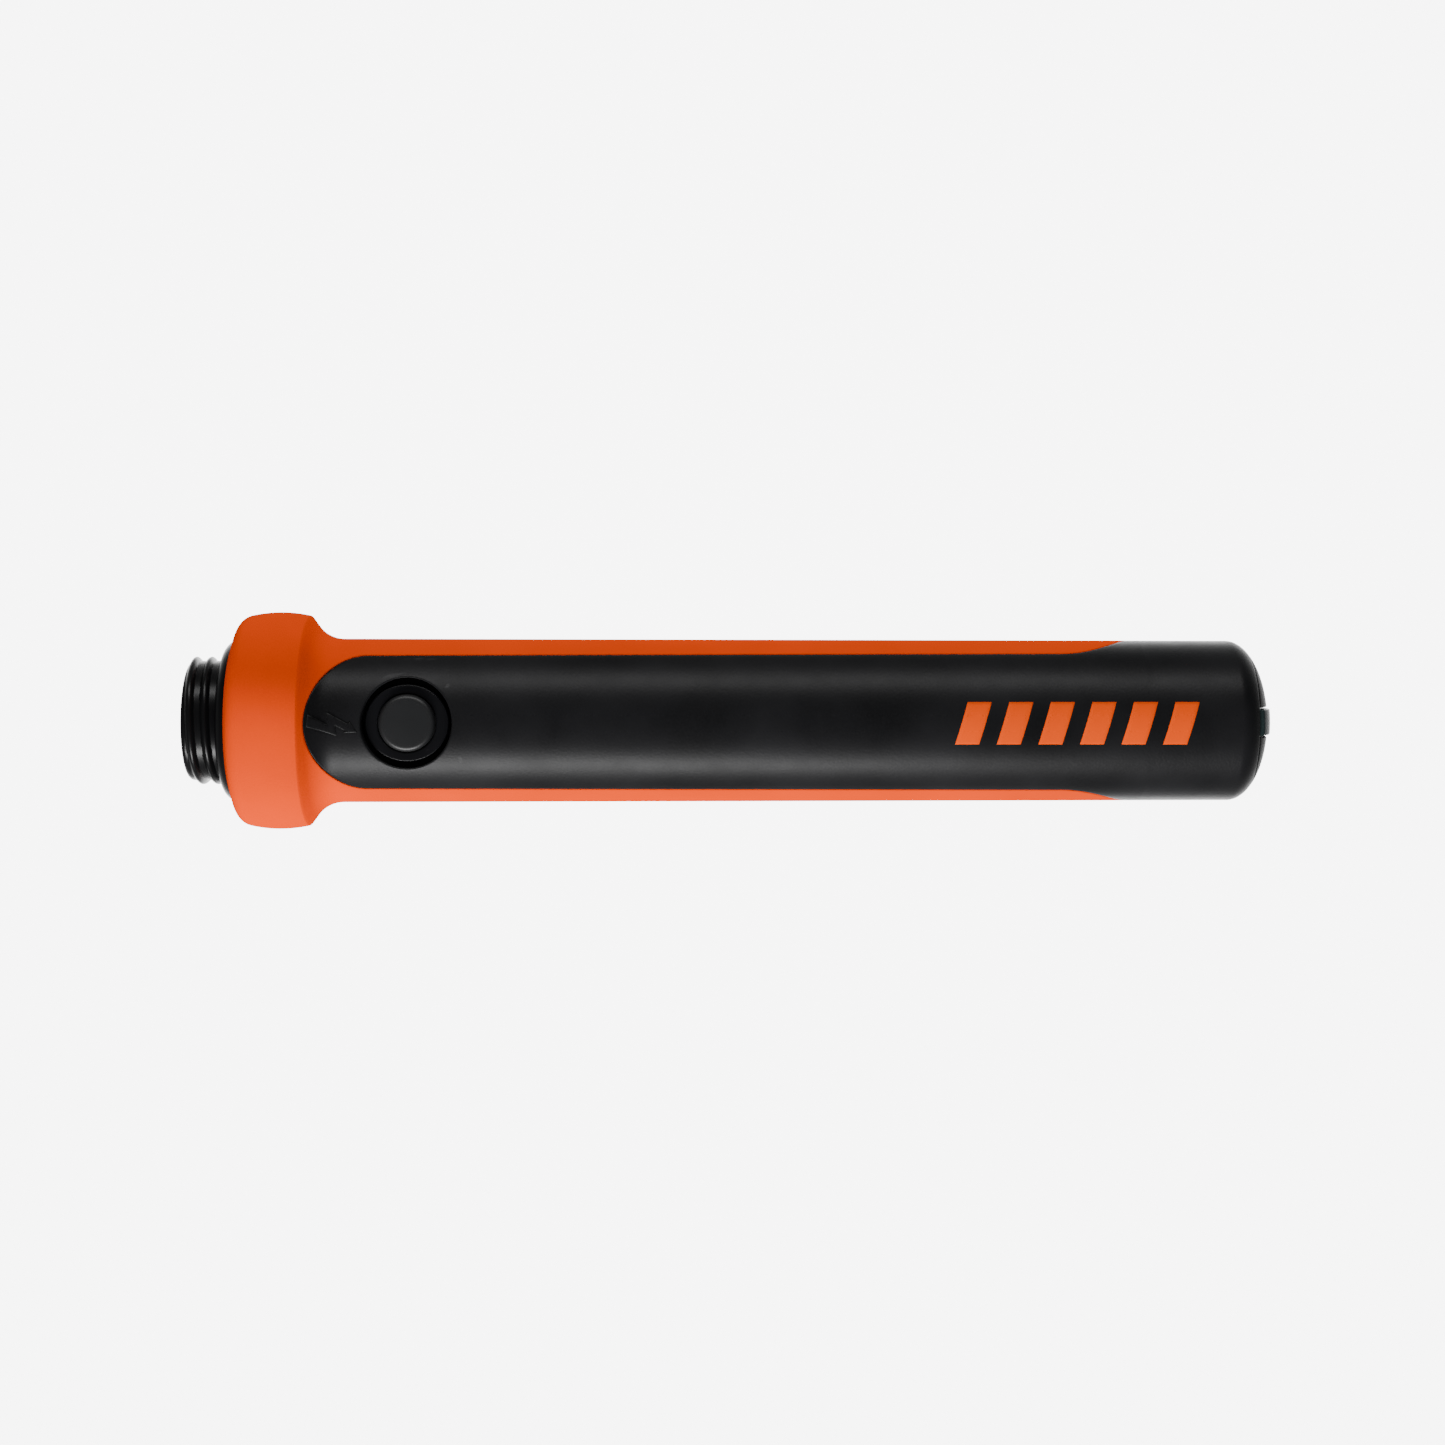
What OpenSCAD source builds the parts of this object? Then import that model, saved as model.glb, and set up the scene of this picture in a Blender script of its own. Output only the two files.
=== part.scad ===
// Hand-held pinpointer probe: a round sealed body with a screw neck at one end and a domed
// search tip at the other. X runs along the body from the neck to the tip, +Z faces the button.
// The origin is on the axis, in the plane where the neck meets the shoulder.

/* [Body] */
// Length from the shoulder plane to the middle of the domed tip
body_len = 203.05; // [165:0.05:250]
// Body radius where the dome starts
front_r = 15.6; // [13:0.1:19]
// Growth of the body radius from the dome to the collar's flare
draft = 0.4; // [0:0.05:1]
// Depth of the domed tip along the axis
dome_depth = 7.45; // [6:0.05:9]
// Distance from the body's outside to the seam of the nose cap
nose_inset = 2.4; // [1.8:0.05:2.6]

/* [Collar] */
// Height of the collar over the body
collar_rise = 5.2; // [4:0.1:7]
// Place of the collar's largest radius along the axis
collar_x = 10.8; // [9:0.1:13]
// Radius of the collar's barrel curve along the axis
barrel_r = 26; // [21:1:60]
// Radius of the collar's rear corner
corner_r = 3.2; // [2:0.1:4.5]
// Place of the sleeve's rear lip
lip_x = 2.1; // [1.8:0.1:2.6]
// Place of the crease between collar and flare
crease_x = 16.5; // [13.5:0.1:20]
// Length of the flare from the crease to the straight body
flare_len = 6.7; // [5.5:0.1:9]
// Radius of the flare's hollow
flare_r = 6.6; // [5:0.1:8]
// Steepest slope of the flare
flare_angle = 53; // [44:1:64]

/* [Shells] */
// Thickness of the grip sleeve, from the outside to the housing
sleeve_wall = 0.9; // [0.7:0.05:1.2]
// Thickness of the housing under the sleeve
housing_wall = 1.8; // [1.4:0.05:2.2]
// Drop from the body's crown to the panel's edge at the collar
panel_rear_drop = 6.5; // [5.2:0.1:8]
// Drop from the body's crown to the panel's edge at the front
panel_front_drop = 7.5; // [6:0.1:9]
// Length of the black front, from the end of the sleeve to the tip
front_len = 25.15; // [20:0.05:40]
// Radius of the sweep from the panel's edge to the end of the sleeve
sweep_r = 15.83; // [12:0.01:20]
// Length of the panel's rounded rear end
panel_end_len = 11.2; // [9:0.1:14]
// Gap between the panel and the sleeve's window
panel_gap = 0.08; // [0.04:0.01:0.15]
// Height of the raised charging symbol
bolt_height = 0.18; // [0.1:0.01:0.3]

/* [Neck] */
// Length of the neck in front of the shoulder
neck_len = 7; // [5.8:0.1:10]
// Height of the thread's ridge
thread_depth = 0.8; // [0.6:0.05:1]
// Pitch of the neck's thread
thread_pitch = 2.94; // [2.4:0.02:3.6]
// Width of the thread's ridge at its root
ridge_w = 1.8; // [1.4:0.1:2.2]
// Radius of the shoulder's round edge
shoulder_r = 2.9; // [2.2:0.1:3.2]
// Thickness of the neck beside the recess around the charging socket
neck_side = 3.7; // [3:0.1:4.5]
// Depth of the recess around the charging socket
recess_depth = 4.6; // [4.4:0.1:5.6]

/* [Button] */
// Place of the button along the body
button_x = 36.8; // [34:0.1:60]
// Radius of the button cap
cap_r = 5.45; // [4.5:0.05:6.6]
// Width of the bezel ring around the cap
bezel_w = 2.6; // [2.2:0.05:3.2]
// Width of the ditch between the bezel and the recess's wall
ditch_w = 0.6; // [0.3:0.05:0.8]
// Depth of the recess floor below the body's crown
well_drop = 4; // [3.6:0.05:4.2]
// Depth of the bezel's flat top below the body's crown
bezel_drop = 2; // [1.7:0.05:2.2]
// Depth of the cap's crown below the body's crown
cap_drop = 0.7; // [0.4:0.05:1]
// Travel of the button
travel = 0.8; // [0.4:0.05:1]
// Running clearance of the cap in the bezel
cap_gap = 0.15; // [0.1:0.01:0.2]
// Running clearance of the stem in its guide
stem_gap = 0.1; // [0.04:0.01:0.1]

/* [Nose] */
// Width of the bar across the nose
bar_w = 4.95; // [3:0.05:6]
// Height of the bar over the dome
bar_proud = 0.55; // [0.2:0.05:1]
// Gap on each side of the bar
bar_gap = 0.37; // [0.2:0.01:0.6]
// Depth of the channel that holds the bar
channel_depth = 1.1; // [0.8:0.05:1.4]

/* [Inside] */
// Thickness of the main board
board_t = 1.6; // [1:0.2:2]
// Length of the battery cell
cell_len = 50; // [30:0.5:60]
// Radius of the ferrite core
ferrite_r = 5; // [3:0.1:5.5]
// Length of the ferrite core
ferrite_len = 42; // [35:1:51]

/* [Hidden] */

round_fn = 96;
hair = 0.05;
far = 400;

// Body and dome
rear_r = front_r + draft;
core_r = front_r - sleeve_wall;
bore_r = core_r - housing_wall;
seam_r = front_r - nose_inset;
dome_x = body_len - dome_depth;
seam_angle = acos(seam_r / front_r);
seam_x = dome_x + dome_depth * sin(seam_angle);
cap_seat_x = seam_x - 1.2;
spigot_x = cap_seat_x - 7.4;
nose_bore_r = bore_r - 0.5;

// Collar, as a barrel arc with a smaller arc rolled on inside it
collar_r = rear_r + collar_rise;
flare_x = crease_x + flare_len;
barrel_c = collar_r - barrel_r;
corner_x = lip_x + 0.6 + corner_r;
corner_c = barrel_c + sqrt(pow(barrel_r - corner_r, 2) - pow(corner_x - collar_x, 2));
corner_turn = asin((collar_x - corner_x) / (barrel_r - corner_r));
flange_back_x = 4;
seat_r = bore_r + 0.1;
lip_bore_r = seat_r + shoulder_r + hair;

// Panel
panel_rear_z = rear_r - panel_rear_drop;
panel_front_z = rear_r - panel_front_drop;
panel_x = crease_x + 1.2;
sleeve_end_x = body_len - front_len;

// Neck
crest_r = seat_r - 0.5;
root_r = crest_r - thread_depth;
recess_r = root_r - neck_side;
spigot_r = bore_r - 0.15;
neck_spigot_len = 10;
groove_x = flange_back_x + 4;
groove_w = 1.5;
groove_depth = 1.1;
cord_r = 0.55;
neck_cavity_r = root_r - 2.7;
neck_wall = 1.8;
port_back_x = recess_depth + neck_wall - neck_len;
shell_x0 = recess_depth - neck_len - 0.1;
shell_len = 7.3;
ridge_sink = 0.2;
ridge_start = -60;
ridge_end = 774;
ridge_step = 12;
ridge_fade = 36;
crest_phase_x = 1.15 - neck_len;
socket_board_w = 2 * (sqrt(pow(neck_cavity_r, 2) - pow(2.63, 2)) - 2.1);

// Button
bezel_r = cap_r + bezel_w;
well_r = bezel_r + ditch_w;
well_z = rear_r - well_drop;
bezel_z = rear_r - bezel_drop;
cap_z = rear_r - cap_drop;
bezel_lip = 0.5;
cap_flange_t = 0.6;
cap_flange_r = cap_r + 1.25;
cap_flange_z = bezel_z - bezel_lip - cap_flange_t - 0.02;
stem_r = 2;
well_floor_t = 1.6;
seal_pocket_r = 3.3;
seal_pocket_depth = 1.1;
seal_cord_r = 0.5;
switch_h = 3.5;
board_top = well_z - well_floor_t - switch_h - 1.95;
board_z = board_top - board_t;
plunger_r = 1.75;
plunger_z = well_z - well_floor_t - 0.4;
touch_gap = 0.02;

// Inside, measured back from the nose
coil_x1 = spigot_x - 3;
coil_x0 = coil_x1 - ferrite_len + 2;
coil_mid_x = (coil_x0 + coil_x1) / 2;
coil_half = (coil_x1 - coil_x0) / 2;
tray_x0 = 16;
tray_x1 = coil_x0 - 4;
tray_r = bore_r - 0.2;
tray_wall = 1.3;
board_x0 = tray_x0;
board_x1 = tray_x1 - 2;
board_w = 2 * (sqrt(pow(bore_r, 2) - pow(board_top, 2)) - 0.2);
screw_y = board_w / 2 - 3.1;
screw_r = 1;
screw_xs = [board_x0 + 6, board_x1 - 6];
cell_r = bore_r - 5.9;
cell_z = -(bore_r - cell_r - 1.3);
cell_x1 = tray_x1 - 32;
cell_x0 = cell_x1 - cell_len;
contact_t = 0.4;
bulkhead_t = 2;
motor_x0 = cell_x1 + 7;
motor_len = 11;
motor_r = 3;
motor_z = 6.9 - bore_r;
shaft_r = 0.5;
weight_len = 4;
weight_r = 2.8;
former_wall = 0.8;
former_flange_t = 1.6;
former_rib_x = 10;
former_rib_t = 1;

// Points of an arc about (cx, cy), from angle a0 to angle a1 in n steps
function arc(cx, cy, r, a0, a1, n) =
    [for (i = [0:n]) let (a = a0 + (a1 - a0) * i / n) [cx + r * cos(a), cy + r * sin(a)]];

// Points of the dome as [x, radius], pushed along the axis, between two parameter angles
function dome(push, t0, t1, n) =
    [for (i = [0:n]) let (t = t0 + (t1 - t0) * i / n)
        [dome_x + push + dome_depth * sin(t), front_r * cos(t)]];

// Outline of the body from the sleeve's lip to the start of the dome, as [x, radius]
function body_outline() = concat(
    [[lip_x, lip_bore_r + 0.2]],
    arc(corner_x, corner_c, corner_r, 180, 90 + corner_turn, 10),
    arc(collar_x, barrel_c, barrel_r, 90 + corner_turn, 90 - asin((crease_x - collar_x) / barrel_r), 12),
    arc(flare_x, rear_r + flare_r, flare_r, 270 - flare_angle, 270, 12),
    [[dome_x, front_r]]
);

// Solid of revolution about X from points given as [x, radius]
module turned(points) {
    rotate([0, 90, 0])
        rotate_extrude($fn = round_fn)
            polygon([for (p = points) [p[1], p[0]]]);
}

// Round bar about X between two places
module rod(x0, x1, r) {
    translate([x0, 0, 0])
        rotate([0, 90, 0])
            cylinder(h = x1 - x0, r = r, $fn = round_fn);
}

// Upright cylinder at a place
module post(x, y, z0, z1, r) {
    translate([x, y, z0])
        cylinder(h = z1 - z0, r = r, $fn = round_fn);
}

// Box given by its lowest and highest corners
module block(low, high) {
    translate(low)
        cube(high - low);
}

// Round ring about X with a round section
module ring_x(x, mid_r, section_r) {
    translate([x, 0, 0])
        rotate([0, 90, 0])
            rotate_extrude($fn = round_fn)
                translate([mid_r, 0])
                    circle(r = section_r, $fn = 48);
}

// Slot-shaped bar along X with round ends in Y
module slot_bar(x0, x1, half_y, half_z) {
    outline = concat(
        arc(half_y - half_z, 0, half_z, -90, 90, 12),
        arc(half_z - half_y, 0, half_z, 90, 270, 12)
    );
    translate([x0, 0, 0])
        rotate([90, 0, 90])
            linear_extrude(height = x1 - x0)
                polygon(outline);
}

// Full outer form of the body from behind the flange to the end of the dome
module outer_form() {
    turned(concat([[flange_back_x, 0]], [[flange_back_x, lip_bore_r + 0.2]],
        [for (p = body_outline()) if (p[0] > flange_back_x + 1) p],
        dome(0, 3, 90, 24)));
}

// Region taken by the black panel and the front of the housing, shrunk or grown by a gap
module panel_region(gap) {
    end_x = sleeve_end_x - gap;
    sweep = sweep_r - gap;
    end_w = sqrt(pow(rear_r, 2) - pow(panel_rear_z, 2)) + gap;
    end_c = panel_x + panel_end_len;
    side = concat(
        [[-far, -far], [end_x, -far]],
        arc(end_x - sweep, panel_front_z - gap - sweep, sweep, 0, 90, 24),
        [[end_c, panel_rear_z - gap], [-far, panel_rear_z - gap]]
    );
    plan = concat(
        [for (i = [0:32]) let (a = 90 + 180 * i / 32)
            [end_c + (panel_end_len + gap) * cos(a), end_w * sin(a)]],
        [[end_c + 1, -end_w], [end_c + 1, -far], [far, -far], [far, far], [end_c + 1, far],
            [end_c + 1, end_w]]
    );
    difference() {
        translate([0, 0, -50])
            linear_extrude(height = 100)
                polygon(plan);
        rotate([90, 0, 0])
            linear_extrude(height = 900, center = true)
                polygon(side);
    }
}

// Thin layer of the body's surface, from depth below it to a little above it
module surface_layer(depth, above) {
    difference() {
        turned(concat([[flange_back_x, 0]],
            [for (p = body_outline()) if (p[0] > flange_back_x + 1) [p[0], p[1] + above]],
            [[dome_x, 0]]));
        turned(concat([[flange_back_x - 1, 0]],
            [for (p = body_outline()) if (p[0] > flange_back_x + 1) [p[0], p[1] - depth]],
            [[dome_x + 1, front_r - depth], [dome_x + 1, 0]]));
    }
}

// Lightning mark with an arrow end, in plan
bolt_x = panel_x + 5.3;
bolt_points = [
    [-4.4, 1.5], [-0.95, -0.5], [-1.05, 1.85], [2.75, -0.2], [3.1, 0.15], [4.3, -1.65],
    [2.2, -1.7], [2.4, -1.3], [0.3, -0.25], [0.5, -2.2], [-4.6, -0.5]
];

// Row of slanted bars, in plan
marks_x = dome_x - 54.6;
mark_count = 6;
mark_pitch = 7.9;
mark_w = 4.6;
mark_h = 8.1;
mark_slant = 2.4;
mark_depth = 0.25;

module marks_plan(grow) {
    for (i = [0:mark_count - 1])
        translate([marks_x + i * mark_pitch, 0])
            polygon([[-grow, -mark_h / 2 - grow], [mark_w + grow, -mark_h / 2 - grow],
                [mark_w + mark_slant + grow, mark_h / 2 + grow],
                [mark_slant - grow, mark_h / 2 + grow]]);
}

module core_housing() {
    color([0.07, 0.07, 0.08])
    difference() {
        union() {
            rod(flange_back_x, sleeve_end_x + 1, core_r);
            intersection() {
                outer_form();
                panel_region(0);
            }
            // Raised charging symbol
            intersection() {
                surface_layer(0.3, bolt_height);
                translate([bolt_x, 0, 0])
                    linear_extrude(height = 40)
                        polygon(bolt_points);
            }
        }
        // Main bore, nose bore and the nose cap's seat
        difference() {
            rod(flange_back_x - 1, spigot_x - 0.6, bore_r);
            post(button_x, 0, well_z - well_floor_t, bore_r + 2, well_r + 1.4);
        }
        rod(spigot_x - 1, body_len, nose_bore_r);
        rod(cap_seat_x, body_len + 1, seam_r + hair);
        // Button recess, stem guide and seal pocket
        post(button_x, 0, well_z, rear_r + 5, well_r);
        post(button_x, 0, well_z - well_floor_t - 1, well_z + 1, stem_r + stem_gap);
        post(button_x, 0, well_z - seal_pocket_depth, well_z + 1, seal_pocket_r);
        // Pocket for the inlaid marks
        intersection() {
            surface_layer(mark_depth, 3);
            linear_extrude(height = 40)
                marks_plan(0.02);
        }
    }
}

module panel_marks() {
    color([1, 0.42, 0])
    intersection() {
        surface_layer(mark_depth, 0.02);
        linear_extrude(height = 40)
            marks_plan(0);
    }
}

module grip_sleeve() {
    color([1, 0.4, 0])
    difference() {
        turned(concat([[lip_x, 0]], body_outline(), [[dome_x, 0]]));
        rod(lip_x - 1, flange_back_x + hair, lip_bore_r);
        rod(lip_x, dome_x + 1, core_r + hair);
        panel_region(panel_gap);
    }
}

// Screw ridge wound on the neck's root, faded at both ends
module thread_ridge() {
    height = crest_r - root_r;
    section = [
        [-ridge_w / 2, -ridge_sink], [-ridge_w * 0.4, height * 0.3], [-ridge_w * 0.2, height * 0.9],
        [0, height], [ridge_w * 0.2, height * 0.9], [ridge_w * 0.4, height * 0.3],
        [ridge_w / 2, -ridge_sink]
    ];
    n = len(section);
    turns = round((ridge_end - ridge_start) / ridge_step);
    points = [for (i = [0:turns]) let (
        a = ridge_start + i * ridge_step,
        fade = min(1, min(a - ridge_start, ridge_end - a) / ridge_fade + 0.12)
    ) for (p = section)
        [crest_phase_x + thread_pitch * a / 360 + p[0],
            (root_r - ridge_sink + (p[1] + ridge_sink) * fade) * cos(a),
            (root_r - ridge_sink + (p[1] + ridge_sink) * fade) * sin(a)]];
    sides = [for (i = [0:turns - 1]) for (j = [0:n - 1]) let (k = (j + 1) % n)
        [i * n + j, i * n + k, (i + 1) * n + k, (i + 1) * n + j]];
    first = [for (j = [n - 1:-1:0]) j];
    last = [for (j = [0:n - 1]) turns * n + j];
    polyhedron(points = points, faces = concat(sides, [first, last]), convexity = 8);
}

module threaded_neck() {
    rim = 1;
    color([0.05, 0.05, 0.055])
    difference() {
        union() {
            turned(concat(
                [[-neck_len, 0]],
                arc(rim - neck_len, root_r - rim, rim, 180, 90, 8),
                [[0, root_r]],
                arc(shoulder_r, seat_r, shoulder_r, 180, 90, 12),
                [[flange_back_x, seat_r + shoulder_r], [flange_back_x, spigot_r],
                    [groove_x, spigot_r], [groove_x, spigot_r - groove_depth],
                    [groove_x + groove_w, spigot_r - groove_depth], [groove_x + groove_w, spigot_r],
                    [flange_back_x + neck_spigot_len, spigot_r], [flange_back_x + neck_spigot_len, 0]]
            ));
            thread_ridge();
        }
        rod(-neck_len - 5, -neck_len, crest_r + 1);
        rod(-neck_len - 1, recess_depth - neck_len, recess_r);
        rod(port_back_x, flange_back_x + neck_spigot_len + 1, neck_cavity_r);
        slot_bar(-neck_len, port_back_x + 1, 4.57, 1.73);
    }
}

module neck_seal_ring() {
    color([0.12, 0.12, 0.12])
        ring_x(groove_x + groove_w / 2, bore_r - cord_r - 0.03, cord_r);
}

module nose_cap() {
    color([0.06, 0.06, 0.065])
    difference() {
        turned(concat(
            [[spigot_x, 0], [spigot_x, nose_bore_r - hair], [spigot_x + 2, nose_bore_r - hair],
                [spigot_x + 2, nose_bore_r - hair - groove_depth],
                [spigot_x + 2 + groove_w, nose_bore_r - hair - groove_depth],
                [spigot_x + 2 + groove_w, nose_bore_r - hair],
                [cap_seat_x, nose_bore_r - hair], [cap_seat_x, seam_r]],
            dome(0, seam_angle, 90, 20)
        ));
        rod(spigot_x - 1, cap_seat_x - 1.2, nose_bore_r - 2.4);
        rod(spigot_x, body_len, 1.6);
        difference() {
            block([spigot_x, -bar_w / 2 - bar_gap, -far], [far, bar_w / 2 + bar_gap, far]);
            turned(concat([[spigot_x - 1, 0]], [[spigot_x - 1, front_r]],
                dome(-channel_depth, 0, 90, 24)));
        }
    }
}

module nose_seal_ring() {
    color([0.12, 0.12, 0.12])
        ring_x(spigot_x + 2 + groove_w / 2, nose_bore_r - cord_r - 0.03, cord_r);
}

module nose_bar() {
    color([0.22, 0.27, 0.27])
    intersection() {
        block([spigot_x, -bar_w / 2, -seam_r + 0.3], [far, bar_w / 2, seam_r - 0.3]);
        turned(concat(dome(bar_proud, 0, 90, 24), dome(-channel_depth, 90, 0, 24)));
    }
}

module nose_led() {
    led_r = 1.5;
    tip_x = body_len - channel_depth - 0.3;
    color([0.9, 0.92, 0.85])
    union() {
        rod(cap_seat_x - 3, tip_x - led_r, led_r);
        translate([tip_x - led_r, 0, 0])
            sphere(r = led_r, $fn = 48);
        rod(cap_seat_x - 3.8, cap_seat_x - 3, led_r + 0.3);
        for (y = [-0.7, 0.7])
            block([spigot_x, y - 0.25, -0.25], [cap_seat_x - 3.7, y + 0.25, 0.25]);
    }
}

module button_bezel() {
    color([0.09, 0.09, 0.1])
    intersection() {
        difference() {
            post(button_x, 0, well_z, bezel_z, bezel_r);
            post(button_x, 0, well_z - 1, bezel_z + 1, cap_r + cap_gap);
            post(button_x, 0, well_z - 1, bezel_z - bezel_lip, cap_flange_r + cap_gap);
        }
        rod(button_x - 20, button_x + 20, rear_r - 0.45);
    }
}

module button_cap() {
    crown_edge = 1;
    color([0.1, 0.1, 0.11])
    translate([button_x, 0, 0])
        rotate_extrude($fn = round_fn)
            polygon(concat(
                [[0, plunger_z + touch_gap], [stem_r, plunger_z + touch_gap],
                    [stem_r, cap_flange_z], [cap_flange_r, cap_flange_z],
                    [cap_flange_r, cap_flange_z + cap_flange_t], [cap_r, cap_flange_z + cap_flange_t]],
                arc(cap_r - crown_edge, cap_z - 0.15 - crown_edge, crown_edge, 0, 85, 8),
                [[0, cap_z]]
            ));
}

module stem_seal_ring() {
    color([0.15, 0.15, 0.15])
    translate([button_x, 0, well_z - seal_pocket_depth + seal_cord_r + 0.02])
        rotate_extrude($fn = round_fn)
            translate([stem_r + stem_gap + seal_cord_r, 0])
                circle(r = seal_cord_r, $fn = 48);
}

module switch_body() {
    half = 3;
    color([0.2, 0.2, 0.21])
    difference() {
        union() {
            block([button_x - half, -half, board_top], [button_x + half, half, board_top + switch_h]);
            for (side = [-1, 1])
                block([button_x - 2.6, side * 3.4 - 0.6, board_top],
                    [button_x + 2.6, side * 3.4 + 0.6, board_top + 0.5]);
        }
        post(button_x, 0, board_top + 1.2, board_top + switch_h + 1, plunger_r + 0.08);
    }
}

module switch_plunger() {
    color([0.85, 0.85, 0.82])
        post(button_x, 0, board_top + 1.3 + travel, plunger_z, plunger_r);
}

module chassis_tray() {
    cradle_r = cell_r + 0.15;
    color([0.16, 0.16, 0.17])
    difference() {
        intersection() {
            union() {
                difference() {
                    rod(tray_x0, tray_x1, tray_r);
                    rod(tray_x0 - 1, tray_x1 + 1, tray_r - tray_wall);
                }
                for (x = [tray_x0, cell_x0 - contact_t - bulkhead_t - 0.1, cell_x1 + contact_t + 0.1,
                    tray_x1 - bulkhead_t])
                    rod(x, x + bulkhead_t, tray_r - tray_wall / 2);
                for (x = [cell_x0 + 8, cell_x1 - 10])
                    rod(x, x + bulkhead_t, tray_r - tray_wall / 2);
                block([motor_x0 + 2, -6, -far], [motor_x0 + 8, 6, motor_z + 1]);
                for (x = screw_xs, y = [-screw_y, screw_y])
                    post(x, y, -far, board_z, 2.3);
            }
            rod(tray_x0, tray_x1, tray_r);
            block([-far, -far, -far], [far, far, board_z]);
        }
        // Cell bed, kept inside the two end walls
        translate([0, 0, cell_z])
            rod(cell_x0 - contact_t - 0.05, cell_x1 + contact_t + 0.05, cradle_r);
        block([cell_x0, -cradle_r, cell_z], [cell_x1, cradle_r, far]);
        translate([0, 0, motor_z])
            rod(motor_x0 - 2, motor_x0 + 9, motor_r + 0.02);
        for (x = screw_xs, y = [-screw_y, screw_y])
            post(x, y, board_z - 6.5, board_z + 1, screw_r + 0.02);
        // Wire passages through the end walls
        for (y = [-3, 3])
            translate([0, y, board_z])
                rod(tray_x0 - 1, tray_x0 + bulkhead_t + 1, 2);
    }
}

module main_board() {
    color([0.05, 0.3, 0.15])
    difference() {
        block([board_x0, -board_w / 2, board_z + hair], [board_x1, board_w / 2, board_top]);
        for (x = screw_xs, y = [-screw_y, screw_y])
            post(x, y, board_z - 1, board_top + 1, screw_r + 0.1);
    }
}

module board_screws() {
    color([0.7, 0.7, 0.72])
    for (x = screw_xs, y = [-screw_y, screw_y])
        difference() {
            union() {
                post(x, y, board_z - 6, board_top + 0.2, screw_r);
                post(x, y, board_top, board_top + 1.3, 1.9);
            }
            block([x - 1.2, y - 0.25, board_top + 0.7], [x + 1.2, y + 0.25, board_top + 2]);
            block([x - 0.25, y - 1.2, board_top + 0.7], [x + 0.25, y + 1.2, board_top + 2]);
        }
}

module board_chips() {
    // Share of the way from the button to the board's end, place across, size in X, Y and Z
    chips = [[0.18, 0, 7, 7, 1.2], [0.53, 2, 10, 6, 1.6], [0.68, -3, 5, 4, 1.4], [0.81, 3, 8, 5, 1.5]];
    color([0.08, 0.08, 0.08])
    for (c = chips) {
        x = button_x + c[0] * (board_x1 - button_x);
        block([x - c[2] / 2, c[1] - c[3] / 2, board_top],
            [x + c[2] / 2, c[1] + c[3] / 2, board_top + c[4]]);
    }
}

module buzzer() {
    sounder_x = button_x + 0.363 * (board_x1 - button_x);
    color([0.12, 0.12, 0.13])
    difference() {
        post(sounder_x, 0, board_top, board_top + 4, 6);
        post(sounder_x, 0, board_top + 2, board_top + 5, 1);
    }
}

module battery_cell() {
    color([0.15, 0.35, 0.6])
    translate([0, 0, cell_z])
    union() {
        rod(cell_x0, cell_x1 - 1, cell_r);
        rod(cell_x1 - 1.2, cell_x1, 2.8);
    }
}

module battery_contacts() {
    color([0.8, 0.75, 0.55])
    for (x = [cell_x0 - contact_t, cell_x1])
        block([x, -3.5, cell_z - 3.5], [x + contact_t, 3.5, board_z + hair / 2]);
}

module motor_can() {
    color([0.75, 0.75, 0.77])
    translate([0, 0, motor_z])
    difference() {
        rod(motor_x0, motor_x0 + motor_len, motor_r);
        rod(motor_x0 + 1, motor_x0 + motor_len + 1, shaft_r + 0.05);
    }
}

module motor_shaft() {
    color([0.6, 0.6, 0.62])
    translate([0, 0, motor_z])
        rod(motor_x0 + 1.1, motor_x0 + motor_len + 1 + weight_len, shaft_r);
}

module eccentric_weight() {
    weight_x = motor_x0 + motor_len + 0.6;
    color([0.5, 0.5, 0.52])
    translate([0, 0, motor_z])
    difference() {
        union() {
            rod(weight_x, weight_x + weight_len, 1.2);
            intersection() {
                rod(weight_x, weight_x + weight_len, weight_r);
                block([weight_x - 1, -weight_r, -weight_r - 1], [weight_x + 20, weight_r, 0]);
            }
        }
        rod(weight_x - 1, weight_x + weight_len + 1, shaft_r);
    }
}

module end_board() {
    color([0.05, 0.3, 0.15])
        block([port_back_x + 0.2, -socket_board_w / 2, -2.63], [12, socket_board_w / 2, -1.63]);
}

module charge_port_shell() {
    color([0.75, 0.76, 0.78])
    difference() {
        slot_bar(shell_x0, shell_x0 + shell_len, 4.47, 1.63);
        slot_bar(shell_x0 - 1, shell_x0 + shell_len + 1, 4.17, 1.33);
    }
}

module charge_port_tongue() {
    color([0.1, 0.1, 0.1])
    union() {
        block([shell_x0 + 0.8, -3.35, -0.35], [shell_x0 + shell_len - 1.1, 3.35, 0.35]);
        slot_bar(shell_x0 + shell_len - 1.3, shell_x0 + shell_len - 0.1, 4.15, 1.31);
    }
}

module ferrite_core() {
    color([0.25, 0.25, 0.27])
        rod(coil_mid_x - ferrite_len / 2, coil_mid_x + ferrite_len / 2, ferrite_r);
}

module coil_former() {
    color([0.85, 0.82, 0.7])
    difference() {
        union() {
            rod(coil_mid_x - coil_half, coil_mid_x + coil_half, ferrite_r + hair + former_wall);
            for (x = [coil_mid_x - coil_half, coil_mid_x + coil_half - former_flange_t])
                rod(x, x + former_flange_t, bore_r - 0.2);
            for (x = [coil_mid_x - former_rib_x - former_rib_t, coil_mid_x + former_rib_x])
                rod(x, x + former_rib_t, ferrite_r + 3.6);
        }
        rod(coil_mid_x - 60, coil_mid_x + 60, ferrite_r + hair);
    }
}

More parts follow.
